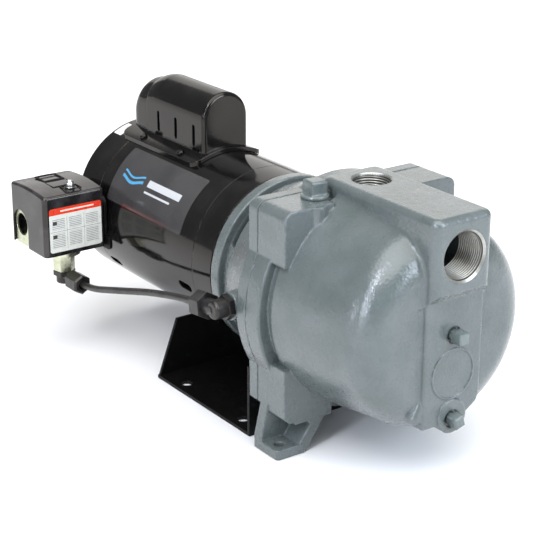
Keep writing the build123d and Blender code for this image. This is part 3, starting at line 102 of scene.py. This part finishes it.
class Graph:
    """A material's node tree with short calls for the nodes used here."""

    def __init__(self, name):
        self.material = bpy.data.materials.new(name)
        self.material.use_nodes = True
        self.tree = self.material.node_tree
        self.shader = self.tree.nodes["Principled BSDF"]
        self.place = self.node("ShaderNodeTexCoord").outputs["Object"]

    def node(self, kind, **settings):
        made = self.tree.nodes.new(kind)
        for key, value in settings.items():
            setattr(made, key, value)
        return made

    def link(self, source, target):
        self.tree.links.new(source, target)

    def fill(self, socket, value):
        """Sets a socket to a number or colour, or links it to another node's output."""
        if isinstance(value, bpy.types.NodeSocket):
            self.link(value, socket)
        else:
            socket.default_value = value

    def set(self, **values):
        """Sets the shader's own sockets, with spaces written as underscores."""
        for key, value in values.items():
            self.fill(self.shader.inputs[key.replace("_", " ")], value)

    def noise(self, size, detail=3.0, stretch=None, seed=0.0):
        """Noise whose features are about size metres across."""
        place = self.place
        if stretch or seed:
            moved = self.node("ShaderNodeMapping")
            moved.inputs["Scale"].default_value = stretch or (1, 1, 1)
            moved.inputs["Location"].default_value = (seed, seed, seed)
            self.link(place, moved.inputs["Vector"])
            place = moved.outputs["Vector"]
        made = self.node("ShaderNodeTexNoise")
        made.inputs["Scale"].default_value = 1 / size
        made.inputs["Detail"].default_value = detail
        self.link(place, made.inputs["Vector"])
        return made.outputs["Fac"]

    def ramp(self, factor, low, high, start=0.0, end=1.0):
        """A number that runs from low to high while the factor runs from start to end."""
        made = self.node("ShaderNodeMapRange")
        made.inputs["From Min"].default_value = start
        made.inputs["From Max"].default_value = end
        made.inputs["To Min"].default_value = low
        made.inputs["To Max"].default_value = high
        self.link(factor, made.inputs["Value"])
        return made.outputs["Result"]

    def mix(self, factor, first, second):
        """A colour between the first and the second."""
        made = self.node("ShaderNodeMix", data_type="RGBA")
        self.fill(made.inputs["Factor"], factor)
        self.fill(made.inputs[6], first)
        self.fill(made.inputs[7], second)
        return made.outputs[2]

    def math(self, operation, first, second=0.0):
        """The result of a math node."""
        made = self.node("ShaderNodeMath", operation=operation)
        self.fill(made.inputs[0], first)
        self.fill(made.inputs[1], second)
        return made.outputs[0]

    def soft_edges(self, radius):
        """The surface normal with its sharp edges rounded to a small radius."""
        made = self.node("ShaderNodeBevel", samples=BEVEL_SAMPLES)
        made.inputs["Radius"].default_value = radius
        return made.outputs["Normal"]

    def bump(self, height, depth, strength=1.0, normal=None):
        """The normal changed by a height of up to depth metres."""
        made = self.node("ShaderNodeBump")
        made.inputs["Strength"].default_value = strength
        made.inputs["Distance"].default_value = depth
        self.link(height, made.inputs["Height"])
        if normal is not None:
            self.link(normal, made.inputs["Normal"])
        return made.outputs["Normal"]

    def edge_mask(self, normal):
        """1 at sharp edges and 0 on flat ground, from how far the rounded normal turns."""
        true_normal = self.node("ShaderNodeNewGeometry").outputs["Normal"]
        made = self.node("ShaderNodeVectorMath", operation="DOT_PRODUCT")
        self.link(normal, made.inputs[0])
        self.link(true_normal, made.inputs[1])
        return self.ramp(made.outputs["Value"], 1.0, 0.0, 0.80, 0.99)

    def crevice(self, reach):
        """1 in open ground and less in corners, out to a reach in metres."""
        made = self.node("ShaderNodeAmbientOcclusion", samples=CREVICE_SAMPLES)
        made.inputs["Distance"].default_value = reach
        return made.outputs["AO"]


# ---- Finishes of the CAD nodes ------------------------------------------------------

WARM = linear(255, 243, 230)       # slight warmth of the black enamel's gloss
WARM_PLASTIC = linear(255, 244, 232)
# colour of the painted shade in the casting enamel's corners and creases
CREVICE_SHADE = linear(58, 66, 68)
DUST = linear(96, 93, 89)


def cast_paint(name, body, shade, light):
    """Grey enamel, sprayed over sand-cast iron: orange peel, grit, worn edges and painted shade in its
    corners.
    """
    g = Graph(name)
    soft = g.soft_edges(2.6 * MM)
    patches = g.ramp(g.noise(28 * MM, 2.0), 0.0, 1.0, 0.35, 0.65)
    colour = g.mix(patches, body, shade)
    grit = g.ramp(g.noise(1.6 * MM, 2.0, seed=3.0), 0.0, 0.07, 0.60, 0.80)
    colour = g.mix(grit, colour, light)
    wear = g.ramp(g.noise(5 * MM, 3.0), 0.0, 0.55, 0.45, 0.65)
    colour = g.mix(g.math("MULTIPLY", g.edge_mask(soft), wear), colour, light)
    # painted shade: by ambient occlusion the colour darkens towards a dark grey-green in corners and
    # creases
    corners = g.ramp(g.crevice(5 * MM), 0.5, 1.0, 0.10, 0.65)
    g.set(Base_Color=g.mix(corners, CREVICE_SHADE, colour))
    g.set(Roughness=g.ramp(g.noise(6 * MM, 3.0, seed=7.0), 0.24, 0.34, 0.3, 0.7))
    g.set(Specular_IOR_Level=0.3, Coat_Weight=0.7, Coat_Roughness=0.07)
    swell = g.bump(g.noise(17 * MM, 2.0, seed=1.0), 1.2 * MM, 0.3, soft)
    g.set(Normal=g.bump(g.noise(2.6 * MM, 2.0), 0.20 * MM, 1.0, swell))
    g.set(Coat_Normal=g.bump(g.noise(2.6 * MM, 2.0, seed=9.0), 0.5 * MM, 1.0, swell))
    return g.material


def gloss_black(name, tint, roughness, dust=0.10, peel=0.05, edge=1.0):
    """Gloss black enamel on sheet steel, with faint orange peel, dust and softened edges."""
    g = Graph(name)
    soft = g.soft_edges(edge * MM)
    specks = g.ramp(g.noise(1.1 * MM, 2.0, seed=5.0), 0.0, dust, 0.66, 0.82)
    smears = g.ramp(g.noise(35 * MM, 4.0, seed=2.0), 0.0, dust * 0.5, 0.45, 0.75)
    veil = g.math("ADD", specks, smears)
    g.set(Base_Color=g.mix(veil, tint, DUST))
    g.set(Roughness=g.ramp(g.noise(12 * MM, 3.0), roughness * 0.8, roughness * 1.35, 0.3, 0.7))
    g.set(Specular_IOR_Level=0.36, Specular_Tint=WARM)
    g.set(Normal=g.bump(g.noise(4.5 * MM, 2.0), peel * MM, 0.5, soft))
    return g.material


def satin_black(name):
    """Dull black enamel on the folded bracket, with scuffs and dust specks."""
    g = Graph(name)
    soft = g.soft_edges(0.8 * MM)
    scuffs = g.ramp(g.noise(9 * MM, 6.0, stretch=(0.25, 1.0, 1.0)), 0.0, 0.18, 0.62, 0.80)
    specks = g.ramp(g.noise(1.2 * MM, 2.0, seed=4.0), 0.0, 0.5, 0.70, 0.78)
    colour = g.mix(g.math("MAXIMUM", scuffs, specks), linear(9, 9, 9), linear(70, 70, 70))
    g.set(Base_Color=colour)
    g.set(Roughness=g.ramp(g.noise(7 * MM, 3.0), 0.30, 0.50, 0.3, 0.7))
    g.set(Specular_IOR_Level=0.16)
    g.set(Normal=g.bump(g.noise(2.2 * MM, 3.0), 0.10 * MM, 0.5, soft))
    return g.material


def metal(name, colour, dark, roughness, grain=2.0, stretch=(1, 1, 1), spots=0.35):
    """Bare or plated metal with fine grain, darker patches, painted shade in its corners and soft
    edges.
    """
    g = Graph(name)
    soft = g.soft_edges(0.5 * MM)
    patches = g.ramp(g.noise(grain * 2 * MM, 4.0, stretch=stretch), 0.0, spots, 0.4, 0.75)
    # painted shade: by ambient occlusion the colour darkens towards the dark tone in corners
    corners = g.ramp(g.crevice(3 * MM), 0.55, 0.0, 0.3, 0.9)
    g.set(Base_Color=g.mix(g.math("MAXIMUM", patches, corners), colour, dark))
    g.set(Metallic=1.0)
    polish = g.noise(grain * MM, 3.0, stretch=stretch)
    g.set(Roughness=g.ramp(polish, roughness * 0.7, roughness * 1.4, 0.3, 0.7))
    g.set(Normal=g.bump(g.noise(grain * 0.4 * MM, 2.0, stretch=stretch), 0.05 * MM, 0.4, soft))
    return g.material


def moulded(name, colour, worn, roughness, grain=0.9, depth=0.04, edge=0.7, specular=0.5):
    """Moulded plastic or rubber with a fine spark-eroded grain and paler rubbed edges."""
    g = Graph(name)
    soft = g.soft_edges(edge * MM)
    patches = g.ramp(g.noise(14 * MM, 3.0), 0.0, 0.25, 0.4, 0.7)
    edges = g.math("MULTIPLY", g.edge_mask(soft), 0.35)
    g.set(Base_Color=g.mix(g.math("MAXIMUM", patches, edges), colour, worn))
    g.set(Roughness=g.ramp(g.noise(5 * MM, 3.0), roughness * 0.8, roughness * 1.25, 0.3, 0.7))
    g.set(Specular_IOR_Level=specular, Specular_Tint=WARM_PLASTIC)
    g.set(Normal=g.bump(g.noise(grain * MM, 2.0), depth * MM, 0.6, soft))
    return g.material


def laminated(name):
    """Stacked steel laminations, seen as fine bands along the shaft."""
    g = Graph(name)
    split = g.node("ShaderNodeSeparateXYZ")
    g.link(g.place, split.inputs[0])
    band = g.math("FRACT", g.math("MULTIPLY", split.outputs["X"], 1 / (0.65 * MM)))
    line = g.ramp(band, 0.0, 1.0, 0.7, 0.95)
    g.set(Base_Color=g.mix(line, linear(150, 152, 156), linear(58, 52, 48)))
    g.set(Metallic=0.9)
    g.set(Roughness=g.ramp(g.noise(5 * MM, 3.0), 0.35, 0.6, 0.3, 0.7))
    g.set(Normal=g.bump(line, 0.08 * MM, 0.5))
    return g.material


def wound_copper(name):
    """Enamelled copper wire in the end turns, as fine ridges round the shaft."""
    g = Graph(name)
    strands = g.noise(2.2 * MM, 3.0, stretch=(6.0, 1.0, 1.0))
    crest = g.ramp(strands, 0.0, 1.0, 0.35, 0.65)
    # painted shade between the wire ridges and painted highlight on their crests: the colour follows
    # the bump's noise
    g.set(Base_Color=g.mix(crest, linear(120, 52, 22), linear(205, 120, 62)))
    g.set(Metallic=0.75)
    g.set(Roughness=g.ramp(strands, 0.25, 0.45))
    g.set(Normal=g.bump(strands, 0.5 * MM, 0.6))
    return g.material


def make_finishes():
    """One material for each material slot of the record."""
    grey = linear(85, 92, 92)
    deep = linear(76, 84, 83)
    pale = linear(136, 143, 149)
    zinc = linear(196, 198, 196)
    zinc_dark = linear(118, 118, 112)
    yellow = linear(206, 208, 182)
    yellow_dark = linear(140, 142, 112)
    steel = linear(176, 176, 174)
    steel_dark = linear(112, 110, 106)
    brass = linear(196, 160, 92)
    brass_dark = linear(140, 106, 56)
    tin = linear(190, 191, 193)
    tin_dark = linear(140, 141, 143)
    aluminium = linear(198, 200, 202)
    aluminium_dark = linear(140, 142, 144)
    switch = linear(20, 19, 21)
    switch_worn = linear(84, 82, 84)
    white = linear(225, 222, 212)
    white_worn = linear(180, 176, 166)
    return {
        "casting_paint": cast_paint("casting_enamel", grey, deep, pale),
        "painted_plug": cast_paint("plug_enamel", linear(96, 106, 104), deep, pale),
        "motor_paint": gloss_black("motor_enamel", linear(9, 9, 10), 0.10),
        "bracket_paint": satin_black("bracket_enamel"),
        "plated_steel": metal("zinc_plate", zinc, zinc_dark, 0.26),
        "zinc_yellow": metal("yellow_zinc", yellow, yellow_dark, 0.34),
        "steel": metal("machined_steel", steel, steel_dark, 0.22, 1.2, (1, 6, 6)),
        "laminations": laminated("steel_laminations"),
        "copper": wound_copper("copper_windings"),
        "cast_aluminium": metal("cast_aluminium", aluminium, aluminium_dark, 0.42, 3.0),
        "black_plastic": moulded("fitting_plastic", linear(17, 17, 18), linear(74, 74, 76), 0.34),
        "switch_plastic": moulded("switch_plastic", switch, switch_worn, 0.17, 1.4, 0.05, 1.0),
        "grey_plastic": moulded("grey_plastic", linear(92, 96, 98), linear(140, 143, 145), 0.45),
        "white_plastic": moulded("white_plastic", white, white_worn, 0.42),
        "rubber": moulded("black_rubber", linear(24, 24, 25), linear(60, 60, 62), 0.62),
        "ceramic": moulded("seal_ceramic", linear(232, 228, 218), linear(200, 196, 188), 0.18),
        "brass": metal("turned_brass", brass, brass_dark, 0.22, 1.2, (1, 6, 6)),
        "can_metal": metal("capacitor_can", tin, tin_dark, 0.28, 2.0, (1, 5, 5)),
    }


def paint_nodes(finishes):
    """Gives every CAD node its finish."""
    for part in frame["record"]["subparts"]:
        node = frame["nodes"][part["node"]]
        node.data.materials.clear()
        node.data.materials.append(finishes[part["material_slot"]])


# ---- Mesh helpers -------------------------------------------------------------------

def new_piece(name, points, faces, material, body, uvs=None):
    """A mesh piece in the frame's own coordinates that rides on a body."""
    mesh = bpy.data.meshes.new(name)
    mesh.from_pydata(points, [], faces)
    if uvs:
        layer = mesh.uv_layers.new(name="UVMap")
        for loop in mesh.loops:
            layer.data[loop.index].uv = uvs[loop.vertex_index]
    for polygon in mesh.polygons:
        polygon.use_smooth = True
    mesh.materials.append(material)
    piece = bpy.data.objects.new(name, mesh)
    bpy.context.scene.collection.objects.link(piece)
    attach(piece, body)
    return piece


def grid_faces(across, along, closed=False):
    """Quads of a grid with this many points each way; closed joins the last column to the first."""
    faces = []
    columns = across if closed else across - 1
    for row in range(along - 1):
        for column in range(columns):
            right = (column + 1) % across
            low = row * across
            high = low + across
            faces.append((low + column, low + right, high + right, high + column))
    return faces


# ---- Pipe threads -------------------------------------------------------------------

THREAD_PITCH = 2.21 * MM
THREAD_TAPER = 1 / 32
THREAD_DEPTH = 1.15 * MM
THREAD_STEPS = 10
THREAD_SEGMENTS = 120
BORE_CLEARANCE = 0.08 * MM
MOUTH_CLEARANCE = 0.06 * MM
MOUTH_CHAMFER = 1.7 * MM
MOUTH_RADII = {"suction_port": 22.3 * MM, "discharge_port": 17.6 * MM}


def thread_wall(bore, depth):
    """Radius of the tapered wall that the ridges stand on."""
    return bore - BORE_CLEARANCE - depth * THREAD_TAPER


def thread_radius(bore, mouth, depth, turn):
    """Radius of the cut thread at a depth below the mouth, at a share of a turn."""
    wall = thread_wall(bore, depth)
    if depth < MOUTH_CHAMFER:
        return mouth - (mouth - wall) * depth / MOUTH_CHAMFER - MOUTH_CLEARANCE
    phase = (depth / THREAD_PITCH + turn) % 1.0
    ridge = 1.0 - abs(2.0 * phase - 1.0)
    start = min(1.0, (depth - MOUTH_CHAMFER) / THREAD_PITCH)
    return wall - THREAD_DEPTH * start * max(0.0, ridge * 1.15 - 0.12)


def thread_metal():
    """Bare cut iron, dull in the roots of the thread, with painted shade there and a painted highlight
    on its crests.
    """
    g = Graph("cut_cast_iron")
    split = g.node("ShaderNodeSeparateXYZ")
    g.link(g.node("ShaderNodeTexCoord").outputs["UV"], split.inputs[0])
    # painted shade in the thread's roots and painted highlight on its crests, set by the height across
    # the thread
    crest = g.ramp(split.outputs["Y"], 0.0, 1.0, 0.15, 0.85)
    stain = g.ramp(g.noise(3 * MM, 3.0), 0.0, 0.35, 0.4, 0.7)
    colour = g.mix(crest, linear(58, 57, 53), linear(172, 171, 164))
    g.set(Base_Color=g.mix(stain, colour, linear(96, 92, 83)))
    g.set(Metallic=0.8)
    g.set(Roughness=g.ramp(crest, 0.5, 0.3))
    g.set(Normal=g.bump(g.noise(0.8 * MM, 2.0), 0.05 * MM, 0.4))
    return g.material


def port_thread(name, centre, axis, side, bore, mouth, length, material):
    """The cut surface of a tapered pipe thread, from its chamfered mouth inwards."""
    up = axis.cross(side)
    rows = int(length / THREAD_PITCH * THREAD_STEPS)
    points = []
    uvs = []
    for row in range(rows + 1):
        depth = length * row / rows
        for step in range(THREAD_SEGMENTS):
            turn = step / THREAD_SEGMENTS
            radius = thread_radius(bore, mouth, depth, turn)
            angle = 2 * math.pi * turn
            outward = side * math.cos(angle) + up * math.sin(angle)
            points.append(centre - axis * depth + outward * radius)
            height = 1.0
            if depth >= MOUTH_CHAMFER:
                height = (thread_wall(bore, depth) - radius) / THREAD_DEPTH
            # the second UV number is the height across the thread, which sets the painted shade and
            # highlight of the thread
            uvs.append((turn, height))
    faces = grid_faces(THREAD_SEGMENTS, rows + 1, closed=True)
    return new_piece(name, points, faces, material, "pump_frame", uvs)


def add_threads():
    """Threads of the suction and the discharge port."""
    bare = thread_metal()
    side = Vector((0, 1, 0))
    for port, mouth in MOUTH_RADII.items():
        mount = MOUNTS[port]
        axis = Vector(mount["axis"])
        length = mount["dims"]["length_mm"] * MM
        bore = mount["dims"]["r_mm"] * MM
        centre = Vector(mount["pos_m"])
        centre += axis * (port_reach(port) - centre.dot(axis))
        port_thread(port + "_thread", centre, axis, side, bore, mouth, length, bare)


def port_reach(port):
    """Where the port's mouth lies along its axis: the casing's front face or its top."""
    low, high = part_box("pump_casing")
    return high.z if port == "discharge_port" else high.x


# ---- Labels -------------------------------------------------------------------------

# Stickers on the motor: millimetres along the shaft, and degrees about it from the +Y side
LABEL_X = (-189.0, -57.5)
LABEL_ANGLE = (122.0, 164.0)
LABEL_CORNER = 2.0
PLATE_X = (-239.0, -226.0)
PLATE_ANGLE = (105.0, 118.0)
PLATE_CORNER = 0.3

# The switch's sticker: millimetres in from the cover's edges, and up from its foot
SWITCH_LABEL_INSETS = (5.1, 4.2)
SWITCH_LABEL_RISE = (4.0, 48.0)
SWITCH_LABEL_CORNER = 2.0


class Artwork(Graph):
    """A label's graph with flat shapes drawn in millimetres on its UV plane."""

    def __init__(self, name, width, height):
        super().__init__(name)
        split = self.node("ShaderNodeSeparateXYZ")
        self.link(self.node("ShaderNodeTexCoord").outputs["UV"], split.inputs[0])
        self.across = self.math("MULTIPLY", split.outputs["X"], width)
        self.up = self.math("MULTIPLY", split.outputs["Y"], height)

    def between(self, value, low, high):
        """1 where the value lies between low and high."""
        above = self.math("GREATER_THAN", value, low)
        return self.math("MULTIPLY", above, self.math("LESS_THAN", value, high))

    def bar(self, x0, x1, y0, y1):
        """1 inside a rectangle."""
        return self.math("MULTIPLY", self.between(self.across, x0, x1), self.between(self.up, y0, y1))

    def rules(self, x0, x1, y0, y1, spacing, share):
        """1 on thin horizontal rules inside a rectangle."""
        phase = self.math("FRACT", self.math("MULTIPLY", self.up, 1 / spacing))
        return self.math("MULTIPLY", self.bar(x0, x1, y0, y1), self.math("LESS_THAN", phase, share))

    def any_of(self, masks):
        """1 where any of the masks is."""
        total = masks[0]
        for mask in masks[1:]:
            total = self.math("MAXIMUM", total, mask)
        return total


def patch(name, across, along, place, material, body, sheet, radius):
    """A thin sticker with round corners: place(u, v) gives its points, u and v from 0 to 1."""
    width, height = sheet
    points = []
    uvs = []
    for row in range(along):
        v = row / (along - 1)
        inset = corner_inset(v * height, height, radius) / width
        for column in range(across):
            u = inset + (1 - 2 * inset) * column / (across - 1)
            points.append(place(u, v))
            uvs.append((u, v))
    return new_piece(name, points, grid_faces(across, along), material, body, uvs)


def corner_inset(up, height, radius):
    """How far a round corner draws the side in at a height above the sticker's foot."""
    gap = min(up, height - up)
    if gap >= radius:
        return 0.0
    return radius - math.sqrt(radius ** 2 - (radius - gap) ** 2)


def on_shell(x_range, angle_range):
    """A point function for a sticker wrapped on the motor: v climbs towards the top."""
    radius = SHELL_R + LIFT

    def place(u, v):
        x = x_range[0] + (x_range[1] - x_range[0]) * u
        angle = math.radians(angle_range[1] + (angle_range[0] - angle_range[1]) * v)
        return (x * MM, radius * math.cos(angle), SHAFT_Z + radius * math.sin(angle))
    return place


def shell_sheet(x_range, angle_range):
    """Width and height in millimetres of a sticker wrapped on the motor."""
    width = x_range[1] - x_range[0]
    height = math.radians(angle_range[1] - angle_range[0]) * SHELL_R / MM
    return width, height


def motor_label_art(width, height):
    """Dark grey vinyl with blue waves and grey bars in place of lettering."""
    g = Artwork("motor_label", width, height)
    clouds = g.ramp(g.noise(40 * MM, 2.0), 0.0, 1.0, 0.3, 0.7)
    ground = g.mix(clouds, linear(58, 57, 57), linear(46, 46, 47))
    swing = g.math("MULTIPLY", g.math("SINE", g.math("MULTIPLY", g.across, 0.16)), 2.2)
    lift = g.math("SUBTRACT", g.up, swing)
    strokes = g.any_of([g.between(lift, 25.0, 28.0), g.between(lift, 31.0, 33.0)])
    waves = g.math("MULTIPLY", g.between(g.across, 12, 48), strokes)
    colour = g.mix(waves, ground, linear(70, 140, 180))
    bars = g.any_of([g.bar(56, 112, 27, 34), g.bar(56, 100, 20.5, 22.5)])
    colour = g.mix(bars, colour, linear(176, 178, 180))
    g.set(Base_Color=colour)
    g.set(Roughness=g.ramp(g.noise(9 * MM, 3.0), 0.14, 0.24, 0.3, 0.7))
    g.set(Coat_Weight=0.4, Coat_Roughness=0.08)
    g.set(Normal=g.bump(g.noise(6 * MM, 2.0), 0.03 * MM, 0.4))
    return g.material


def switch_label_art(width, height):
    """White paper under gloss film: an orange band over columns of plain grey rules."""
    g = Artwork("switch_label", width, height)
    paper = linear(198, 199, 191)
    rows = []
    for left in (3.0, 21.0, 39.0):
        rows.append(g.rules(left, left + 13.5, 4.0, 19.0, 1.7, 0.42))
        rows.append(g.rules(left, left + 13.5, 22.5, 33.0, 1.7, 0.42))
    marks = [g.bar(left, left + 4.5, y0, y0 + 3.6) for left, y0 in ((3.5, 27.5), (3.5, 14.0))]
    lines = [g.bar(1.0, width - 1.0, 20.4, 20.8)]
    lines += [g.bar(left, left + 0.3, 2.0, 34.5) for left in (18.6, 37.0)]
    colour = g.mix(g.any_of(rows), paper, linear(128, 128, 128))
    colour = g.mix(g.any_of(lines), colour, linear(90, 90, 90))
    colour = g.mix(g.any_of(marks), colour, linear(60, 58, 58))
    band = g.bar(-1, width + 1, height - 6.6, height + 1)
    colour = g.mix(band, colour, linear(200, 56, 34))
    colour = g.mix(g.bar(12, width - 8, height - 4.1, height - 2.6), colour, linear(240, 196, 180))
    g.set(Base_Color=colour)
    g.set(Roughness=g.ramp(g.noise(6 * MM, 2.0), 0.22, 0.34, 0.3, 0.7))
    g.set(Coat_Weight=0.3, Coat_Roughness=0.1)
    return g.material


def plate_label_art(width, height):
    """Small white rating sticker with plain grey rules."""
    g = Artwork("rating_label", width, height)
    rules = g.rules(1.0, width - 1.0, 1.5, height - 1.5, 1.6, 0.4)
    g.set(Base_Color=g.mix(rules, linear(232, 231, 226), linear(120, 120, 120)))
    g.set(Roughness=g.ramp(g.noise(5 * MM, 2.0), 0.3, 0.45, 0.3, 0.7))
    return g.material


def add_labels():
    """The motor's sticker, the rating sticker behind it and the switch's label."""
    sheet = shell_sheet(LABEL_X, LABEL_ANGLE)
    patch("motor_label", 60, 40, on_shell(LABEL_X, LABEL_ANGLE), motor_label_art(*sheet),
          "pump_frame", sheet, LABEL_CORNER)
    sheet = shell_sheet(PLATE_X, PLATE_ANGLE)
    patch("rating_label", 12, 12, on_shell(PLATE_X, PLATE_ANGLE), plate_label_art(*sheet),
          "pump_frame", sheet, PLATE_CORNER)
    switch_label()


def switch_label():
    """Label on the switch cover's face towards the pump."""
    face = SWITCH_HIGH.x + LIFT
    y0 = SWITCH_LOW.y + SWITCH_LABEL_INSETS[0] * MM
    y1 = SWITCH_HIGH.y - SWITCH_LABEL_INSETS[1] * MM
    z0 = SWITCH_LOW.z + SWITCH_LABEL_RISE[0] * MM
    z1 = SWITCH_LOW.z + SWITCH_LABEL_RISE[1] * MM
    sheet = ((y1 - y0) / MM, (z1 - z0) / MM)

    def place(u, v):
        return (face, y0 + (y1 - y0) * u, z0 + (z1 - z0) * v)

    patch("switch_label", 24, 40, place, switch_label_art(*sheet),
          "switch_cover", sheet, SWITCH_LABEL_CORNER)


# ---- Switch cover's moulded relief --------------------------------------------------

CROWN_RISE = 2.6 * MM
RELIEF_CORNER = 1.6
RELIEF_LEAST_CORNER = 0.3

# Bead sections as (inward, up) offsets, and the outlines (x0, x1, y0, y1) they follow, in millimetres
WIDE_BEAD = ((0.0, -0.2), (0.1, 0.5), (0.6, 0.8), (2.3, 0.8), (2.8, 0.5), (2.9, -0.2))
NARROW_BEAD = ((0.0, -0.2), (0.2, 0.35), (0.7, 0.5), (1.3, 0.35), (1.5, -0.2))
RELIEFS = {
    "switch_frame_relief": ((-239.0, -218.5, -128.5, -105.0), WIDE_BEAD),
    "switch_pad_relief": ((-217.5, -199.0, -129.0, -105.0), NARROW_BEAD),
    "switch_nut_relief": ((-198.4, -184.5, -123.0, -105.0), NARROW_BEAD),
}


def crown_height(y):
    """Height of the switch cover's crowned top at a place across it."""
    middle = (SWITCH_LOW.y + SWITCH_HIGH.y) / 2
    half = (SWITCH_HIGH.y - SWITCH_LOW.y) / 2
    return SWITCH_HIGH.z - CROWN_RISE * ((y - middle) / half) ** 2


def relief(name, outline, section, material):
    """A moulded bead: its section swept round a rectangle with round corners."""
    x0, x1, y0, y1 = outline
    points = []
    for inward, rise in section:
        radius = max(RELIEF_LEAST_CORNER, RELIEF_CORNER - inward)
        loop = rounded_loop(x0 + inward, x1 - inward, y0 + inward, y1 - inward, radius)
        points += [(x * MM, y * MM, crown_height(y * MM) + rise * MM) for x, y in loop]
    faces = grid_faces(len(points) // len(section), len(section), closed=True)
    return new_piece(name, points, faces, material, "switch_cover")


def rounded_loop(x0, x1, y0, y1, radius, steps=4, run=6):
    """Points round a rectangle with round corners, with a few on each long run to follow the crown."""
    corners = [(x1 - radius, y1 - radius, 0), (x0 + radius, y1 - radius, 90),
               (x0 + radius, y0 + radius, 180), (x1 - radius, y0 + radius, 270)]
    loop = []
    for index, (x, y, start) in enumerate(corners):
        for step in range(steps + 1):
            angle = math.radians(start + 90 * step / steps)
            loop.append((x + radius * math.cos(angle), y + radius * math.sin(angle)))
        after = corners[(index + 1) % 4]
        turn = math.radians(start + 90)
        end = (after[0] + radius * math.cos(turn), after[1] + radius * math.sin(turn))
        begin = loop[-1]
        for step in range(1, run):
            share = step / run
            x = begin[0] + (end[0] - begin[0]) * share
            y = begin[1] + (end[1] - begin[1]) * share
            loop.append((x, y))
    return loop


def add_switch_relief():
    """The rectangular frames moulded on top of the switch cover."""
    material = moulded("switch_relief", linear(8, 8, 9), linear(34, 34, 36), 0.5, specular=0.12)
    for name, (outline, section) in RELIEFS.items():
        relief(name, outline, section, material)


# ---- Studio -------------------------------------------------------------------------

FLOOR_HALF = 14.0
FLOOR_Z = -0.5 * MM
WORLD_STRENGTH = 0.30
SUN_ENERGY = 4.2
SUN_WIDTH = math.radians(75)
SUN_TILT = (math.radians(8), math.radians(12), 0)
AIM = (0.05, 0.0, 0.13)

# Softboxes in the order they are made: name, place, size in metres, watts, tint
SOFTBOXES = (
    ("front_box", (1.6, 0.5, 0.9), (0.9, 0.9), 28.0, (0.78, 0.87, 1.0)),
    ("corner_strip", (0.62, -1.3, 0.95), (0.07, 1.5), 20.0, (0.80, 0.86, 1.0)),
    ("side_spot", (-0.15, -1.5, 0.45), (0.10, 0.30), 2.0, (0.84, 0.89, 1.0)),
    ("back_wall", (-1.85, 1.30, 1.0), (2.6, 1.3), 11.0, (1.0, 0.97, 0.94)),
)


def add_floor():
    """A large pale floor under the feet."""
    g = Graph("floor_paper")
    clouds = g.ramp(g.noise(0.5, 2.0), 0.0, 1.0, 0.3, 0.7)
    g.set(Base_Color=g.mix(clouds, linear(226, 226, 226), linear(223, 223, 223)))
    g.set(Roughness=0.75, Specular_IOR_Level=0.2)
    mesh = bpy.data.meshes.new("floor")
    corners = [(-FLOOR_HALF, -FLOOR_HALF), (FLOOR_HALF, -FLOOR_HALF),
               (FLOOR_HALF, FLOOR_HALF), (-FLOOR_HALF, FLOOR_HALF)]
    mesh.from_pydata([(x, y, FLOOR_Z) for x, y in corners], [], [(0, 1, 2, 3)])
    mesh.materials.append(g.material)
    floor = bpy.data.objects.new("floor", mesh)
    bpy.context.scene.collection.objects.link(floor)


def softbox(name, place, size, power, tint):
    """A rectangular softbox aimed at the pump, seen only by what it lights."""
    data = bpy.data.lights.new(name, "AREA")
    data.shape = "RECTANGLE"
    data.size, data.size_y = size
    data.energy = power
    data.color = tint
    light = bpy.data.objects.new(name, data)
    bpy.context.scene.collection.objects.link(light)
    aim = Vector(AIM) - Vector(place)
    light.rotation_mode = "QUATERNION"
    light.rotation_quaternion = aim.to_track_quat("-Z", "Y")
    light.location = place
    light.visible_camera = False


def add_studio():
    """White surroundings, a wide overhead light and the softboxes."""
    world = bpy.data.worlds.new("studio")
    world.use_nodes = True
    background = world.node_tree.nodes["Background"]
    background.inputs["Color"].default_value = (1.0, 1.0, 1.0, 1.0)
    background.inputs["Strength"].default_value = WORLD_STRENGTH
    bpy.context.scene.world = world
    sun = bpy.data.lights.new("overhead", "SUN")
    sun.energy = SUN_ENERGY
    sun.angle = SUN_WIDTH
    overhead = bpy.data.objects.new("overhead", sun)
    overhead.rotation_euler = SUN_TILT
    bpy.context.scene.collection.objects.link(overhead)
    for settings in SOFTBOXES:
        softbox(*settings)
    view = bpy.context.scene.view_settings
    view.view_transform = "Standard"
    view.look = "None"


# ---- Scene --------------------------------------------------------------------------

add_camera()
paint_nodes(make_finishes())
add_threads()
add_switch_relief()
add_labels()
add_floor()
add_studio()
